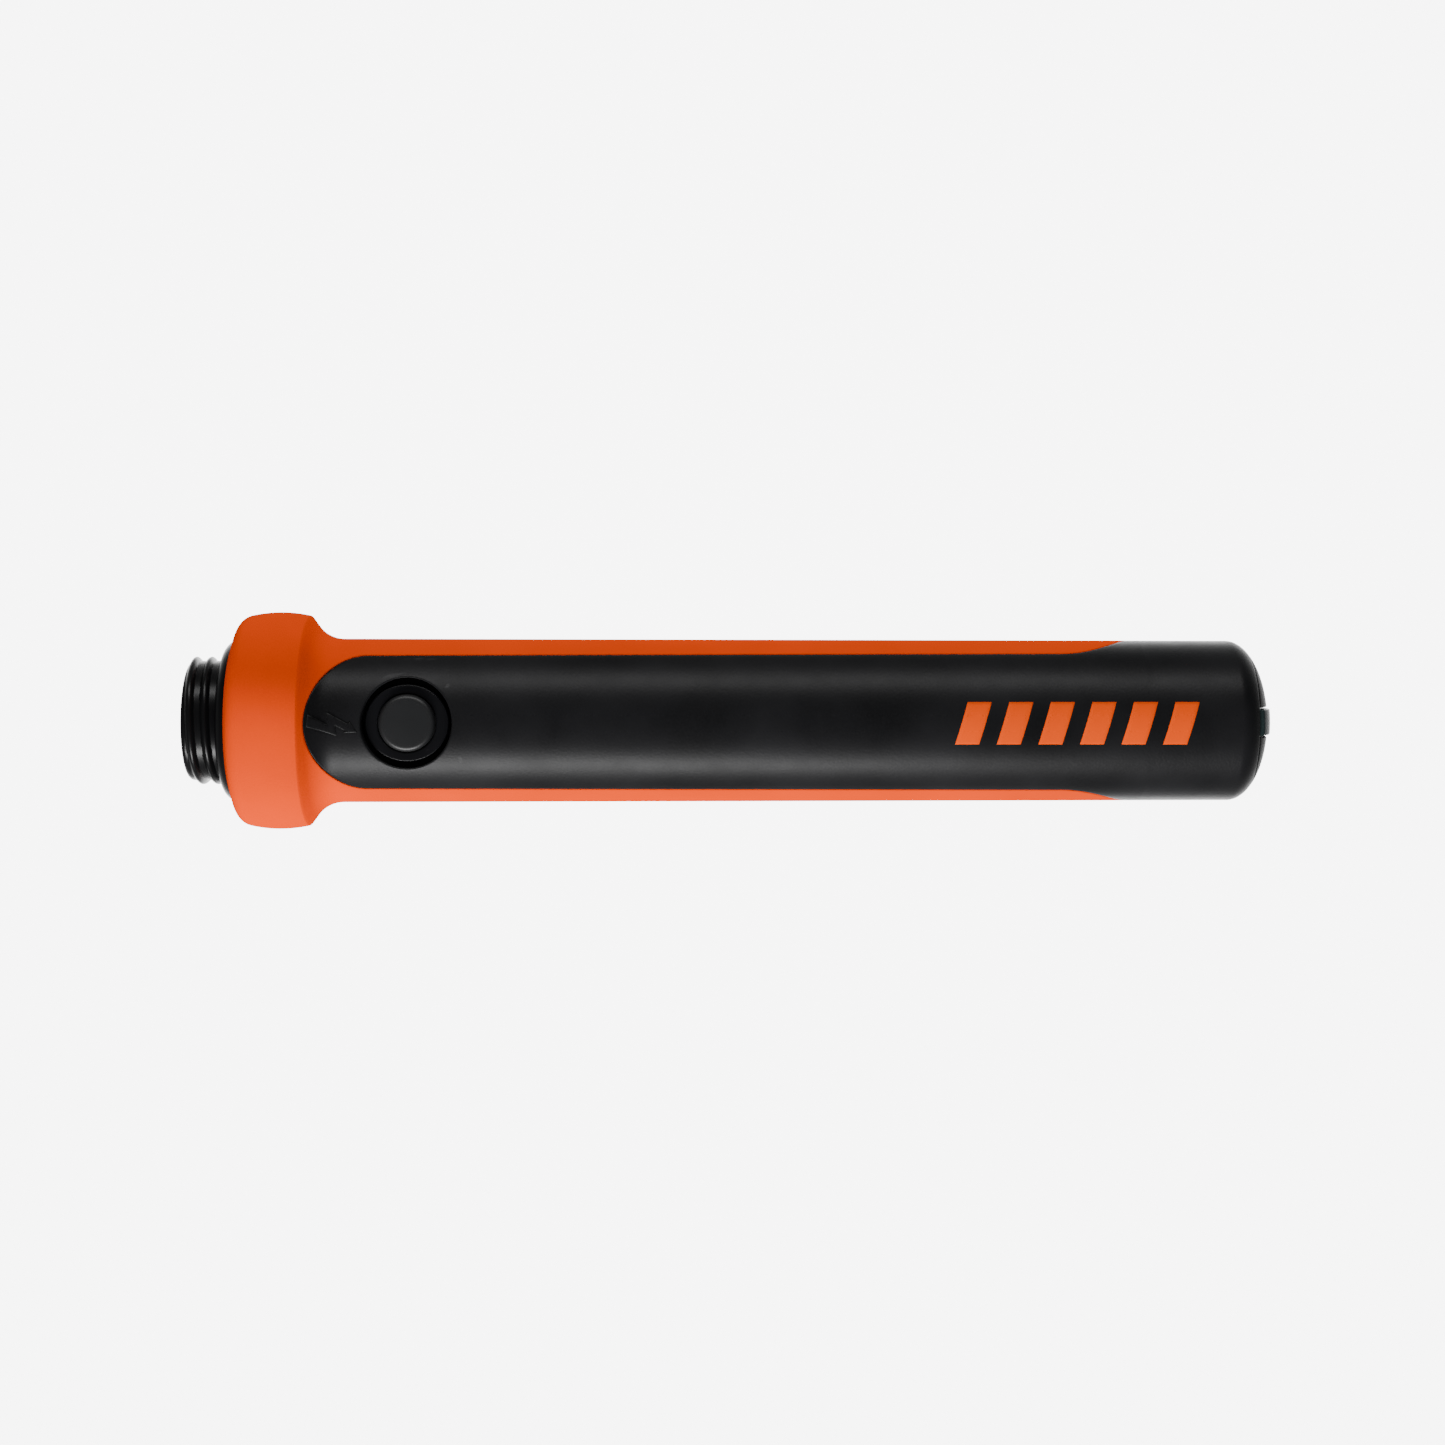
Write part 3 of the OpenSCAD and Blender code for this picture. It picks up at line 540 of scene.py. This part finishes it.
def build_housing():
    """Panel with the button's recess, core under the sleeve, front of the body, and the bore."""
    sheet = Sheet()
    grow = -(PARTING + EDGE)
    ribs = []
    for row in ROWS:
        x, theta = edge_point(row, grow)
        ribs.append([at(x, body_radius(x), theta * j / PANEL_COLUMNS) for j in range(PANEL_COLUMNS + 1)])

    def nearest_rib(x):
        return min(range(len(ribs)), key=lambda i: abs(ribs[i][0][0] - x))

    # Ribs beside the button are left to a ring-shaped grid round its recess
    first = nearest_rib(BUTTON_X - RING_BACK)
    last = nearest_rib(BUTTON_X + RING_FRONT)
    sheet.both_sides(ribs[: first + 1])
    sheet.both_sides(ribs[last:])
    # Outer loop of that grid: rear rib, edge on the -Y side, front rib, edge on the +Y side
    loop = ribs[first][::-1]
    loop += [mirror(p) for p in ribs[first][1:]]
    loop += [mirror(rib[-1]) for rib in ribs[first + 1 : last + 1]]
    loop += [mirror(p) for p in ribs[last][::-1][1:]]
    loop += ribs[last][1:]
    loop += [rib[-1] for rib in ribs[last - 1 : first : -1]]
    sheet.grid(recess_rings(loop), closed=True)
    sheet.both_sides(edge_strips(-1, CORE_R), flip=True)

    # Core under the sleeve
    core = turned([(FLANGE_BACK_X, CORE_R), (PANEL_X + PARTING, CORE_R)], under_from(0.0))
    sheet.both_sides(core + below_edge(-PARTING, CORE_R))

    # Front of the body, past the sleeve, to the seam of the nose cap and the seat behind it
    start_x, start_theta = edge_point(ROWS[-1], grow)
    angles = [start_theta * j / PANEL_COLUMNS for j in range(PANEL_COLUMNS + 1)] + under_from(start_theta)[1:]
    front = [(x, body_radius(x)) for x in (start_x + (DOME_X - start_x) * i / 12 for i in range(13))]
    seam_turn = math.acos((SEAM_R + 0.26) / FRONT_R)
    front += [(DOME_X + DOME_DEPTH * math.sin(seam_turn * k / 16), FRONT_R * math.cos(seam_turn * k / 16))
              for k in range(1, 17)]
    seam_x = front[-1][0]
    seat_x = nose_low.x + 7.45
    inner_end_x = nose_low.x - 0.6
    front += [(seam_x + 0.03, SEAM_R + 0.17), (seam_x - 0.06, SEAM_R + 0.09),
              (seam_x - 0.2, SEAM_R + CLEARANCE), (seat_x, SEAM_R + CLEARANCE),
              (seat_x, NOSE_BORE_R), (inner_end_x, NOSE_BORE_R), (inner_end_x, BORE_R)]
    sheet.both_sides(turned(front, angles))

    # Bore, and the ring at its rear end
    turns = full_turn(96)
    bore_xs = [FLANGE_BACK_X, BUTTON_X - 12] + [BUTTON_X - 11 + i * 0.5 for i in range(45)]
    bore_xs += [BUTTON_X + 12, inner_end_x]
    sheet.grid([[at(x, bore_radius(x, a), a) for a in turns] for x in bore_xs], closed=True, flip=True)
    sheet.grid(turned([(FLANGE_BACK_X, BORE_R), (FLANGE_BACK_X, CORE_R)], turns), closed=True)
    finish_piece("core_housing_shell", sheet, "probe", BLACK, ["core_housing"])


# ---------------------------------------------------------------- charging symbol and marks on the panel
BOLT_X = PANEL_X + 5.3
BOLT_POINTS = [(-4.4, 1.5), (-0.95, -0.5), (-1.05, 1.85), (2.75, -0.2), (3.1, 0.15), (4.3, -1.65),
               (2.2, -1.7), (2.4, -1.3), (0.3, -0.25), (0.5, -2.2), (-4.6, -0.5)]
BOLT_HEIGHT = 0.18
MARKS_X = marks_low.x
MARK_COUNT = 6
MARK_PITCH = 7.9
MARK_W = 4.6
MARK_H = 8.1
MARK_SLANT = 2.4
MARK_RISE = 0.02
MARK_INSET = 0.04


def offset_outline(points, out):
    """Corners of an outline moved outwards by out, each along its own mitre."""
    area = sum(a[0] * b[1] - b[0] * a[1] for a, b in zip(points, points[1:] + points[:1]))
    side = 1 if area > 0 else -1
    moved = []
    for before, here, after in zip(points[-1:] + points[:-1], points, points[1:] + points[:1]):
        d0 = Vector(here) - Vector(before)
        d1 = Vector(after) - Vector(here)
        n0 = Vector((d0.y, -d0.x)).normalized() * side
        n1 = Vector((d1.y, -d1.x)).normalized() * side
        mitre = (n0 + n1).normalized()
        moved.append(Vector(here) + mitre * min(out / max(0.35, mitre.dot(n0)), out * 2))
    return moved


def fine_outline(points, n=6):
    """The outline with each side cut into short lengths."""
    fine = []
    for a, b in zip(points, points[1:] + points[:1]):
        fine += [(a[0] + (b[0] - a[0]) * i / n, a[1] + (b[1] - a[1]) * i / n) for i in range(n)]
    return fine


def build_symbol():
    """Raised charging symbol with soft shoulders."""
    sheet = Sheet()
    rings = []
    shoulders = ((0.16, -0.1), (0.13, BOLT_HEIGHT * 0.3), (0.03, BOLT_HEIGHT * 0.85), (-0.08, BOLT_HEIGHT))
    for out, height in shoulders:
        outline = fine_outline([tuple(p) for p in offset_outline(BOLT_POINTS, out)])
        rings.append([on_body(BOLT_X + x, y, height) for x, y in outline])
    index = sheet.grid(rings, closed=True)
    sheet.faces.append(tuple(index[-1]))
    finish_piece("charging_symbol", sheet, "probe", BLACK, [], sharp=60)


def build_marks():
    """Slanted bars, inlaid and a little proud of the panel."""
    sheet = Sheet()
    us = [k / 6 for k in range(7)]
    vs = [k / 16 for k in range(17)]
    rim = [(u, 0.0) for u in us[:-1]] + [(1.0, v) for v in vs[:-1]]
    rim += [(1 - u, 1.0) for u in us[:-1]] + [(0.0, 1 - v) for v in vs[:-1]]
    for i in range(MARK_COUNT):
        start = MARKS_X + i * MARK_PITCH

        def spot(u, v, rise, inset):
            x = start + inset + (MARK_W - 2 * inset) * u + MARK_SLANT * v
            y = (v - 0.5) * (MARK_H - 2 * inset)
            return (x, y, math.sqrt((body_radius(x) + rise) ** 2 - y * y))

        sheet.grid([[spot(u, v, MARK_RISE, MARK_INSET) for u in us] for v in vs])
        sheet.grid([[spot(u, v, rise, inset) for u, v in rim]
                    for rise, inset in ((MARK_RISE, MARK_INSET), (-0.02, 0.0), (-0.25, 0.0))], closed=True)
    finish_piece("panel_mark_bars", sheet, "probe", MARK_ORANGE, ["panel_marks"], sharp=60)


# ---------------------------------------------------------------- neck
CREST_R = SEAT_R - 0.5
THREAD_DEPTH = 0.8
ROOT_R = CREST_R - THREAD_DEPTH
RECESS_R = ROOT_R - 3.7
CAVITY_R = ROOT_R - 2.7
SPIGOT_R = BORE_R - 0.15
PITCH = 2.94
RIDGE_HALF = 0.9
NECK_LEN = -neck_low.x
NECK_RIM = 1.0
RECESS_DEPTH = 4.6
PORT_BACK_X = RECESS_DEPTH + 1.8 - NECK_LEN
CREST_PHASE_X = 1.15 - NECK_LEN
RIDGE_START, RIDGE_END, RIDGE_FADE = -60, 774, 36
SPIGOT_END_X = FLANGE_BACK_X + 10
GROOVE_X = FLANGE_BACK_X + 4
PORT_HALF_Y = 4.57
PORT_HALF_Z = 1.73
PORT_FLARE = 0.2


def ridge_height(x, theta):
    """Height of the thread over the root at x. Theta is measured from +Z towards +Y."""
    turn = (90 - math.degrees(theta)) % 360
    best = 0.0
    for k in (-1, 0, 1, 2):
        a = turn + 360 * k
        if not RIDGE_START < a < RIDGE_END:
            continue
        away = abs(x - (CREST_PHASE_X + PITCH * a / 360)) / RIDGE_HALF
        if away < 1:
            fade = min(1.0, min(a - RIDGE_START, RIDGE_END - a) / RIDGE_FADE + 0.05)
            best = max(best, THREAD_DEPTH * fade * math.cos(math.pi / 2 * away) ** 0.85)
    return best


def slot_outline(half_y, half_z, turns):
    """Round-ended slot as (y, z) points, one in each direction."""
    outline = []
    centre = half_y - half_z
    for a in turns:
        y, z = math.sin(a), math.cos(a)
        if abs(y) * half_z <= abs(z) * centre:
            reach = half_z / abs(z)
        else:
            reach = centre * abs(y) + math.sqrt(max(0.0, half_z ** 2 - (centre * z) ** 2))
        outline.append((y * reach, z * reach))
    return outline


def build_neck():
    """Threaded neck with its shoulder and spigot, and the recess for the charging socket."""
    sheet = Sheet()
    turns = full_turn(256)
    rim = arc(NECK_RIM - NECK_LEN, ROOT_R - NECK_RIM, NECK_RIM, math.pi, math.pi / 2, 10)
    roots = rim + [(rim[-1][0] + 0.12 * i, ROOT_R) for i in range(1, 50)] + [(-0.06, ROOT_R)]
    rows = []
    for x, root in roots:
        blend_in = min(1.0, (x + NECK_LEN) / 0.5)
        rows.append([at(x, root + ridge_height(x, a) * blend_in, a) for a in turns])
    rows.append([at(0.0, ROOT_R + max(0.05, ridge_height(0.0, a)), a) for a in turns])
    back = [(0.0, SEAT_R)] + arc(SHOULDER_R, SEAT_R, SHOULDER_R, math.pi, math.pi / 2, 14)
    back += [(FLANGE_BACK_X, SEAT_R + SHOULDER_R), (FLANGE_BACK_X, SPIGOT_R), (GROOVE_X, SPIGOT_R),
             (GROOVE_X, SPIGOT_R - GROOVE_DEPTH), (GROOVE_X + GROOVE_W, SPIGOT_R - GROOVE_DEPTH),
             (GROOVE_X + GROOVE_W, SPIGOT_R), (SPIGOT_END_X - 0.3, SPIGOT_R),
             (SPIGOT_END_X, SPIGOT_R - 0.3), (SPIGOT_END_X, CAVITY_R), (PORT_BACK_X, CAVITY_R)]
    rows += turned(back, turns)
    # Slot for the socket, from the cavity out to the recess's floor
    floor_x = RECESS_DEPTH - NECK_LEN
    for x, flare in ((PORT_BACK_X, 0.0), (floor_x + PORT_FLARE, 0.0), (floor_x, PORT_FLARE)):
        rows.append([(x, y, z) for y, z in slot_outline(PORT_HALF_Y + flare, PORT_HALF_Z + flare, turns)])
    recess = [(floor_x, RECESS_R - 0.35), (floor_x - 0.1, RECESS_R - 0.1), (floor_x - 0.35, RECESS_R),
              (0.35 - NECK_LEN, RECESS_R), (0.1 - NECK_LEN, RECESS_R + 0.1), (-NECK_LEN, RECESS_R + 0.35),
              (-NECK_LEN, ROOT_R - NECK_RIM - 0.25), (-NECK_LEN, ROOT_R - NECK_RIM)]
    rows += turned(recess, turns)
    sheet.grid(rows, closed=True)
    finish_piece("screw_neck", sheet, "probe", NECK_BLACK, ["threaded_neck"], sharp=40)


# ---------------------------------------------------------------- nose cap and its bar
BAR_HALF = bar_high.y
CHANNEL_HALF = BAR_HALF + 0.37
CHANNEL_DEPTH = 1.1
BAR_Z = bar_high.z
SEAT_X = DOME_X + DOME_DEPTH * math.sin(math.acos(SEAM_R / FRONT_R)) - 1.2
SPIGOT_X = nose_low.x


def strip_rows(y_values, x_of, half_z_of, columns=48):
    """Rows at constant Y, each from -Z to +Z, on a surface given as x(y, z)."""
    rows = []
    for y in y_values:
        half = half_z_of(y)
        zs = [half * math.sin(math.pi / 2 * (2 * k / columns - 1)) for k in range(columns + 1)]
        rows.append([(x_of(y, z), y, z) for z in zs])
    return rows


def build_nose():
    """Domed cap with a channel across it, and its spigot."""
    sheet = Sheet()
    soft = 0.24

    def half_z(y):
        return math.sqrt(max(0.0, SEAM_R ** 2 - y * y))

    def cap_x(y, z):
        rim = SEAM_R - math.hypot(y, z)
        lift = soft * (1 - math.sqrt(max(0.0, 1 - (1 - min(1.0, rim / soft)) ** 2)))
        return dome_height(y, z) - lift

    # Half of the channel's floor, its wall with a rounded edge, and the dome out to the rim
    quarter = [math.pi / 2 * k / 4 for k in range(4, -1, -1)]
    edge = [(CHANNEL_HALF + soft * (1 - math.sin(a)), soft * (1 - math.cos(a))) for a in quarter]
    ys = [CHANNEL_HALF + soft + (SEAM_R - CHANNEL_HALF - soft) * math.sin(math.pi / 2 * k / 30)
          for k in range(31)]
    rows = strip_rows([CHANNEL_HALF * k / 4 for k in range(5)],
                      lambda y, z: dome_height(y, z, -CHANNEL_DEPTH), half_z)
    for y, drop in edge:
        rows += strip_rows([y], lambda py, pz, d=drop: cap_x(py, pz) - d, half_z)
    rows += strip_rows(ys[1:], cap_x, half_z)
    sheet.both_sides(rows)
    for pick in (0, -1):
        rim = [row[pick] for row in rows]
        sheet.both_sides([rim, [(SEAT_X, p[1], p[2]) for p in rim]])
    spigot_r = NOSE_BORE_R - CLEARANCE
    groove_x = SPIGOT_X + 2
    hollow_r = NOSE_BORE_R - 2.4
    back = [(SEAT_X, SEAM_R), (SEAT_X, spigot_r), (groove_x + GROOVE_W, spigot_r),
            (groove_x + GROOVE_W, spigot_r - GROOVE_DEPTH), (groove_x, spigot_r - GROOVE_DEPTH),
            (groove_x, spigot_r), (SPIGOT_X, spigot_r), (SPIGOT_X, hollow_r),
            (SEAT_X - 1.2, hollow_r), (SEAT_X - 1.2, 1.6)]
    sheet.grid(turned(back, full_turn(96)), closed=True)
    finish_piece("nose_dome", sheet, "probe", NOSE_BLACK, ["nose_cap"], sharp=40)


def build_bar():
    """Bar across the dome, with rounded edges and ends."""
    sheet = Sheet()
    soft = 0.3
    foot = 0.02 - CHANNEL_DEPTH

    def drop(distance):
        inside = 1 - min(1.0, distance / soft)
        return soft * 0.8 * (1 - math.sqrt(max(0.0, 1 - inside ** 2)))

    def bar_x(y, z):
        return dome_height(y, z, BAR_PROUD) - drop(BAR_HALF - abs(y)) - drop(BAR_Z - abs(z))

    ys = [BAR_HALF - soft * (1 - math.cos(math.pi / 2 * k / 6)) for k in range(7)]
    ys += [(BAR_HALF - soft) * (1 - k / 5) for k in range(1, 6)]
    zs = [BAR_Z - soft * (1 - math.cos(math.pi / 2 * k / 6)) for k in range(7)]
    zs += [(BAR_Z - soft) * (1 - k / 40) for k in range(1, 41)]
    zs += [-z for z in reversed(zs[:-1])]
    rows = [[(dome_height(BAR_HALF, z, foot), BAR_HALF, z) for z in zs]]
    rows += [[(bar_x(y, z), y, z) for z in zs] for y in ys]
    sheet.both_sides(rows)
    for pick in (0, -1):
        edge = [row[pick] for row in rows[1:]]
        sheet.both_sides([edge, [(dome_height(y, BAR_Z, foot), y, z) for _, y, z in edge]])
    finish_piece("nose_bar_cover", sheet, "probe", BAR_GREY, ["nose_bar"], sharp=50)


# ---------------------------------------------------------------- button
CAP_GAP = 0.15
CAP_R = 5.45
BEZEL_R = bezel_high.x - BUTTON_X
BEZEL_Z = bezel_high.z
BEZEL_SQUEEZE = 0.09
BEZEL_SAG = 0.005
BEZEL_LEDGE = 0.5               # Thickness over the cap's flange
CAP_Z = cap_high.z
CAP_FLANGE = 0.6


def build_bezel():
    """Ring round the cap: narrower across the body at the outside, and sagging with the body's curve."""
    sheet = Sheet()
    inner = CAP_R + CAP_GAP
    soft = 0.3
    profile = [(BEZEL_R - 0.01, WELL_Z)]
    profile += arc(BEZEL_R - soft, BEZEL_Z - soft, soft, 0, math.pi / 2, 6)
    profile += [(BEZEL_R - soft + (inner + soft - BEZEL_R + soft) * k / 14, BEZEL_Z) for k in range(1, 15)]
    profile += arc(inner + soft * 0.6, BEZEL_Z - soft * 0.6, soft * 0.6, math.pi / 2, math.pi, 5)[1:]
    under_z = BEZEL_Z - BEZEL_LEDGE
    profile += [(inner, under_z), (CAP_R + 1.4, under_z), (CAP_R + 1.4, WELL_Z)]
    rings = []
    for r, z in profile:
        squeeze = 1 - BEZEL_SQUEEZE * max(0.0, (r - inner - soft) / (BEZEL_R - inner - soft))
        ring = []
        for a in full_turn(160):
            x, y = r * math.cos(a), r * math.sin(a) * squeeze
            ring.append((BUTTON_X + x, y, z - BEZEL_SAG * y * y if z > BEZEL_Z - 0.4 else z))
        rings.append(ring)
    sheet.grid(rings, closed=True)
    finish_piece("button_ring", sheet, "probe", BEZEL_BLACK, ["button_bezel"], sharp=35)


def build_cap():
    """Slightly crowned cap, with the flange under the ring and the stem."""
    sheet = Sheet()
    crown = 1.0
    stem_end = cap_low.z
    flange_top = BEZEL_Z - BEZEL_LEDGE - 0.02
    flange_z = flange_top - CAP_FLANGE
    top = arc(CAP_R - crown, CAP_Z - 0.15 - crown, crown, 0, math.radians(85), 10)
    profile = [(0.001, stem_end), (2.0, stem_end), (2.0, flange_z), (CAP_R + 1.25, flange_z),
               (CAP_R + 1.25, flange_top), (CAP_R, flange_top)] + top
    end_r, end_z = top[-1]
    profile += [(end_r * (1 - k / 8), CAP_Z - (CAP_Z - end_z) * (1 - k / 8) ** 2) for k in range(1, 8)]
    profile.append((0.001, CAP_Z))
    turns = full_turn(128)
    sheet.grid([[(BUTTON_X + r * math.cos(a), r * math.sin(a), z) for a in turns] for r, z in profile],
               closed=True)
    finish_piece("push_button", sheet, "button", CAP_BLACK, ["button_cap"], sharp=40)


# ---------------------------------------------------------------- parts inside, which keep their CAD shapes
def dress_inside():
    """Gives each CAD node inside its own material."""
    rubber = moulded("black_seal_rubber", (0.015, 0.015, 0.015), rough=0.6, grain=0.2)
    grey = moulded("grey_tray_plastic", (0.03, 0.03, 0.032), rough=0.5)
    chip = moulded("chip_epoxy", (0.012, 0.012, 0.013), rough=0.35, grain=0.2)
    switch = moulded("switch_plastic", (0.04, 0.04, 0.042), rough=0.4, grain=0.2)
    plunger = moulded("white_plunger_plastic", (0.72, 0.71, 0.66), rough=0.4, grain=0.1)
    former = moulded("natural_former_plastic", (0.7, 0.66, 0.5), rough=0.45, grain=0.1)
    wrap = moulded("blue_cell_wrap", (0.015, 0.09, 0.33), rough=0.25, grain=0.05)
    jacket = moulded("red_wire_jacket", (0.45, 0.02, 0.012), rough=0.4, grain=0.1)
    ferrite = moulded("dark_ferrite", (0.025, 0.025, 0.027), rough=0.55, grain=0.6)
    board = circuit_board("solder_mask_green")
    copper = winding_wire("enamelled_copper")
    steel = metal("plated_steel", (0.55, 0.55, 0.57), 0.25)
    brass = metal("plated_brass", (0.7, 0.52, 0.25), 0.3)
    zinc = metal("screw_zinc", (0.5, 0.5, 0.52), 0.3, (6, 6, 6))
    heavy = metal("sintered_weight", (0.3, 0.3, 0.31), 0.45, (8, 8, 8))
    nickel = metal("nickel_port_shell", (0.6, 0.59, 0.56), 0.22)
    lens = clear_epoxy("led_epoxy")
    finishes = {
        "neck_seal_ring": rubber, "nose_seal_ring": rubber, "stem_seal_ring": rubber, "nose_led": lens,
        "switch_body": switch, "switch_plunger": plunger, "chassis_tray": grey, "main_board": board,
        "board_screws": zinc, "board_chips": chip, "buzzer": chip, "battery_cell": wrap,
        "battery_contacts": brass, "motor_can": steel, "motor_shaft": steel, "eccentric_weight": heavy,
        "end_board": board, "charge_port_shell": nickel, "charge_port_tongue": chip,
        "ferrite_core": ferrite, "coil_former": former, "transmit_winding": copper,
        "receive_windings": copper, "wire_leads": jacket,
    }
    for name, material in finishes.items():
        node = nodes[name]
        for held in node.material_slots:
            held.material = material
        if not node.material_slots:
            node.data.materials.append(material)


build_sleeve()
build_housing()
build_symbol()
build_marks()
build_neck()
build_nose()
build_bar()
build_bezel()
build_cap()
dress_inside()


# ---------------------------------------------------------------- floor, light and camera, in metres
FLOOR_DROP = 2.0       # The sweep lies well below, so that neither shadow nor orange glow shows on it
FLOOR_HALF = 20.0
FLOOR_GLOW = 7.0
SKY = 0.22
POOL_CENTRE = (0.13, -0.075, -FLOOR_DROP)
POOL_HALF = 0.87       # The pool of light is even out to here
POOL_END = 4.0         # And has faded here


def build_stage():
    """Pale glowing floor, with a pool of light under the object."""
    material, tree, shader, place = new_material("pale_sweep")
    tone = ramp(tree, noise(tree, place, 6, 2), [(0.3, (0.93, 0.93, 0.93)), (0.7, (0.96, 0.96, 0.96))])
    tree.links.new(tone, shader.inputs["Base Color"])
    # Distance from the pool's centre as fourth powers, which gives a square with round corners
    offset = tree.nodes.new("ShaderNodeVectorMath")
    offset.operation = "SUBTRACT"
    offset.inputs[1].default_value = POOL_CENTRE
    tree.links.new(place, offset.inputs[0])
    squares = tree.nodes.new("ShaderNodeVectorMath")
    squares.operation = "MULTIPLY"
    tree.links.new(offset.outputs["Vector"], squares.inputs[0])
    tree.links.new(offset.outputs["Vector"], squares.inputs[1])
    reach = tree.nodes.new("ShaderNodeVectorMath")
    reach.operation = "LENGTH"
    tree.links.new(squares.outputs["Vector"], reach.inputs[0])
    fade = value_range(tree, reach.outputs["Value"], 0.0, 1.0, POOL_HALF ** 2, POOL_END ** 2)
    levels = ((0.0, 1.0), (0.05, 0.5), (0.16, 0.2), (1.0, 0.03))
    glow = ramp(tree, fade, [(position, (grey, grey, grey)) for position, grey in levels])
    tree.links.new(glow, shader.inputs["Emission Color"])
    shader.inputs["Emission Strength"].default_value = FLOOR_GLOW
    shader.inputs["Roughness"].default_value = 0.9
    shader.inputs["Specular IOR Level"].default_value = 0.1
    mesh = bpy.data.meshes.new("floor")
    corners = ((-1, -1), (1, -1), (1, 1), (-1, 1))
    mesh.from_pydata([(x * FLOOR_HALF, y * FLOOR_HALF, -FLOOR_DROP) for x, y in corners], [], [(0, 1, 2, 3)])
    mesh.materials.append(material)
    floor = bpy.data.objects.new("floor", mesh)
    bpy.context.scene.collection.objects.link(floor)


def soft_box(name, location, target, size, watts):
    """Rectangular lamp aimed at a target."""
    data = bpy.data.lights.new(name, "AREA")
    data.shape = "RECTANGLE"
    data.size, data.size_y = size
    data.energy = watts
    lamp = bpy.data.objects.new(name, data)
    lamp.location = location
    aim = Vector(target) - Vector(location)
    lamp.rotation_euler = aim.to_track_quat("-Z", "Y").to_euler()
    bpy.context.scene.collection.objects.link(lamp)


def build_light():
    world = bpy.data.worlds.new("studio")
    world.use_nodes = True
    background = world.node_tree.nodes["Background"]
    background.inputs["Color"].default_value = (1, 1, 1, 1)
    background.inputs["Strength"].default_value = SKY
    bpy.context.scene.world = world
    soft_box("near_side_box", (-0.05, -0.57, 0.30), (0.03, 0, 0), (0.5, 0.16), 18)
    soft_box("far_side_box", (0.08, 0.60, 0.36), (0.09, 0, 0), (0.75, 0.16), 8.6)


def build_camera():
    """Looks straight down on the button side, with a small shift."""
    data = bpy.data.cameras.new("view")
    data.sensor_width = 36
    data.lens = 61.65
    data.shift_x = 0.0294
    data.shift_y = -0.064
    data.clip_start = 0.01
    camera = bpy.data.objects.new("view", data)
    camera.location = (0.0888, 0.0177, 0.485)
    bpy.context.scene.collection.objects.link(camera)
    bpy.context.scene.camera = camera


build_stage()
build_light()
build_camera()
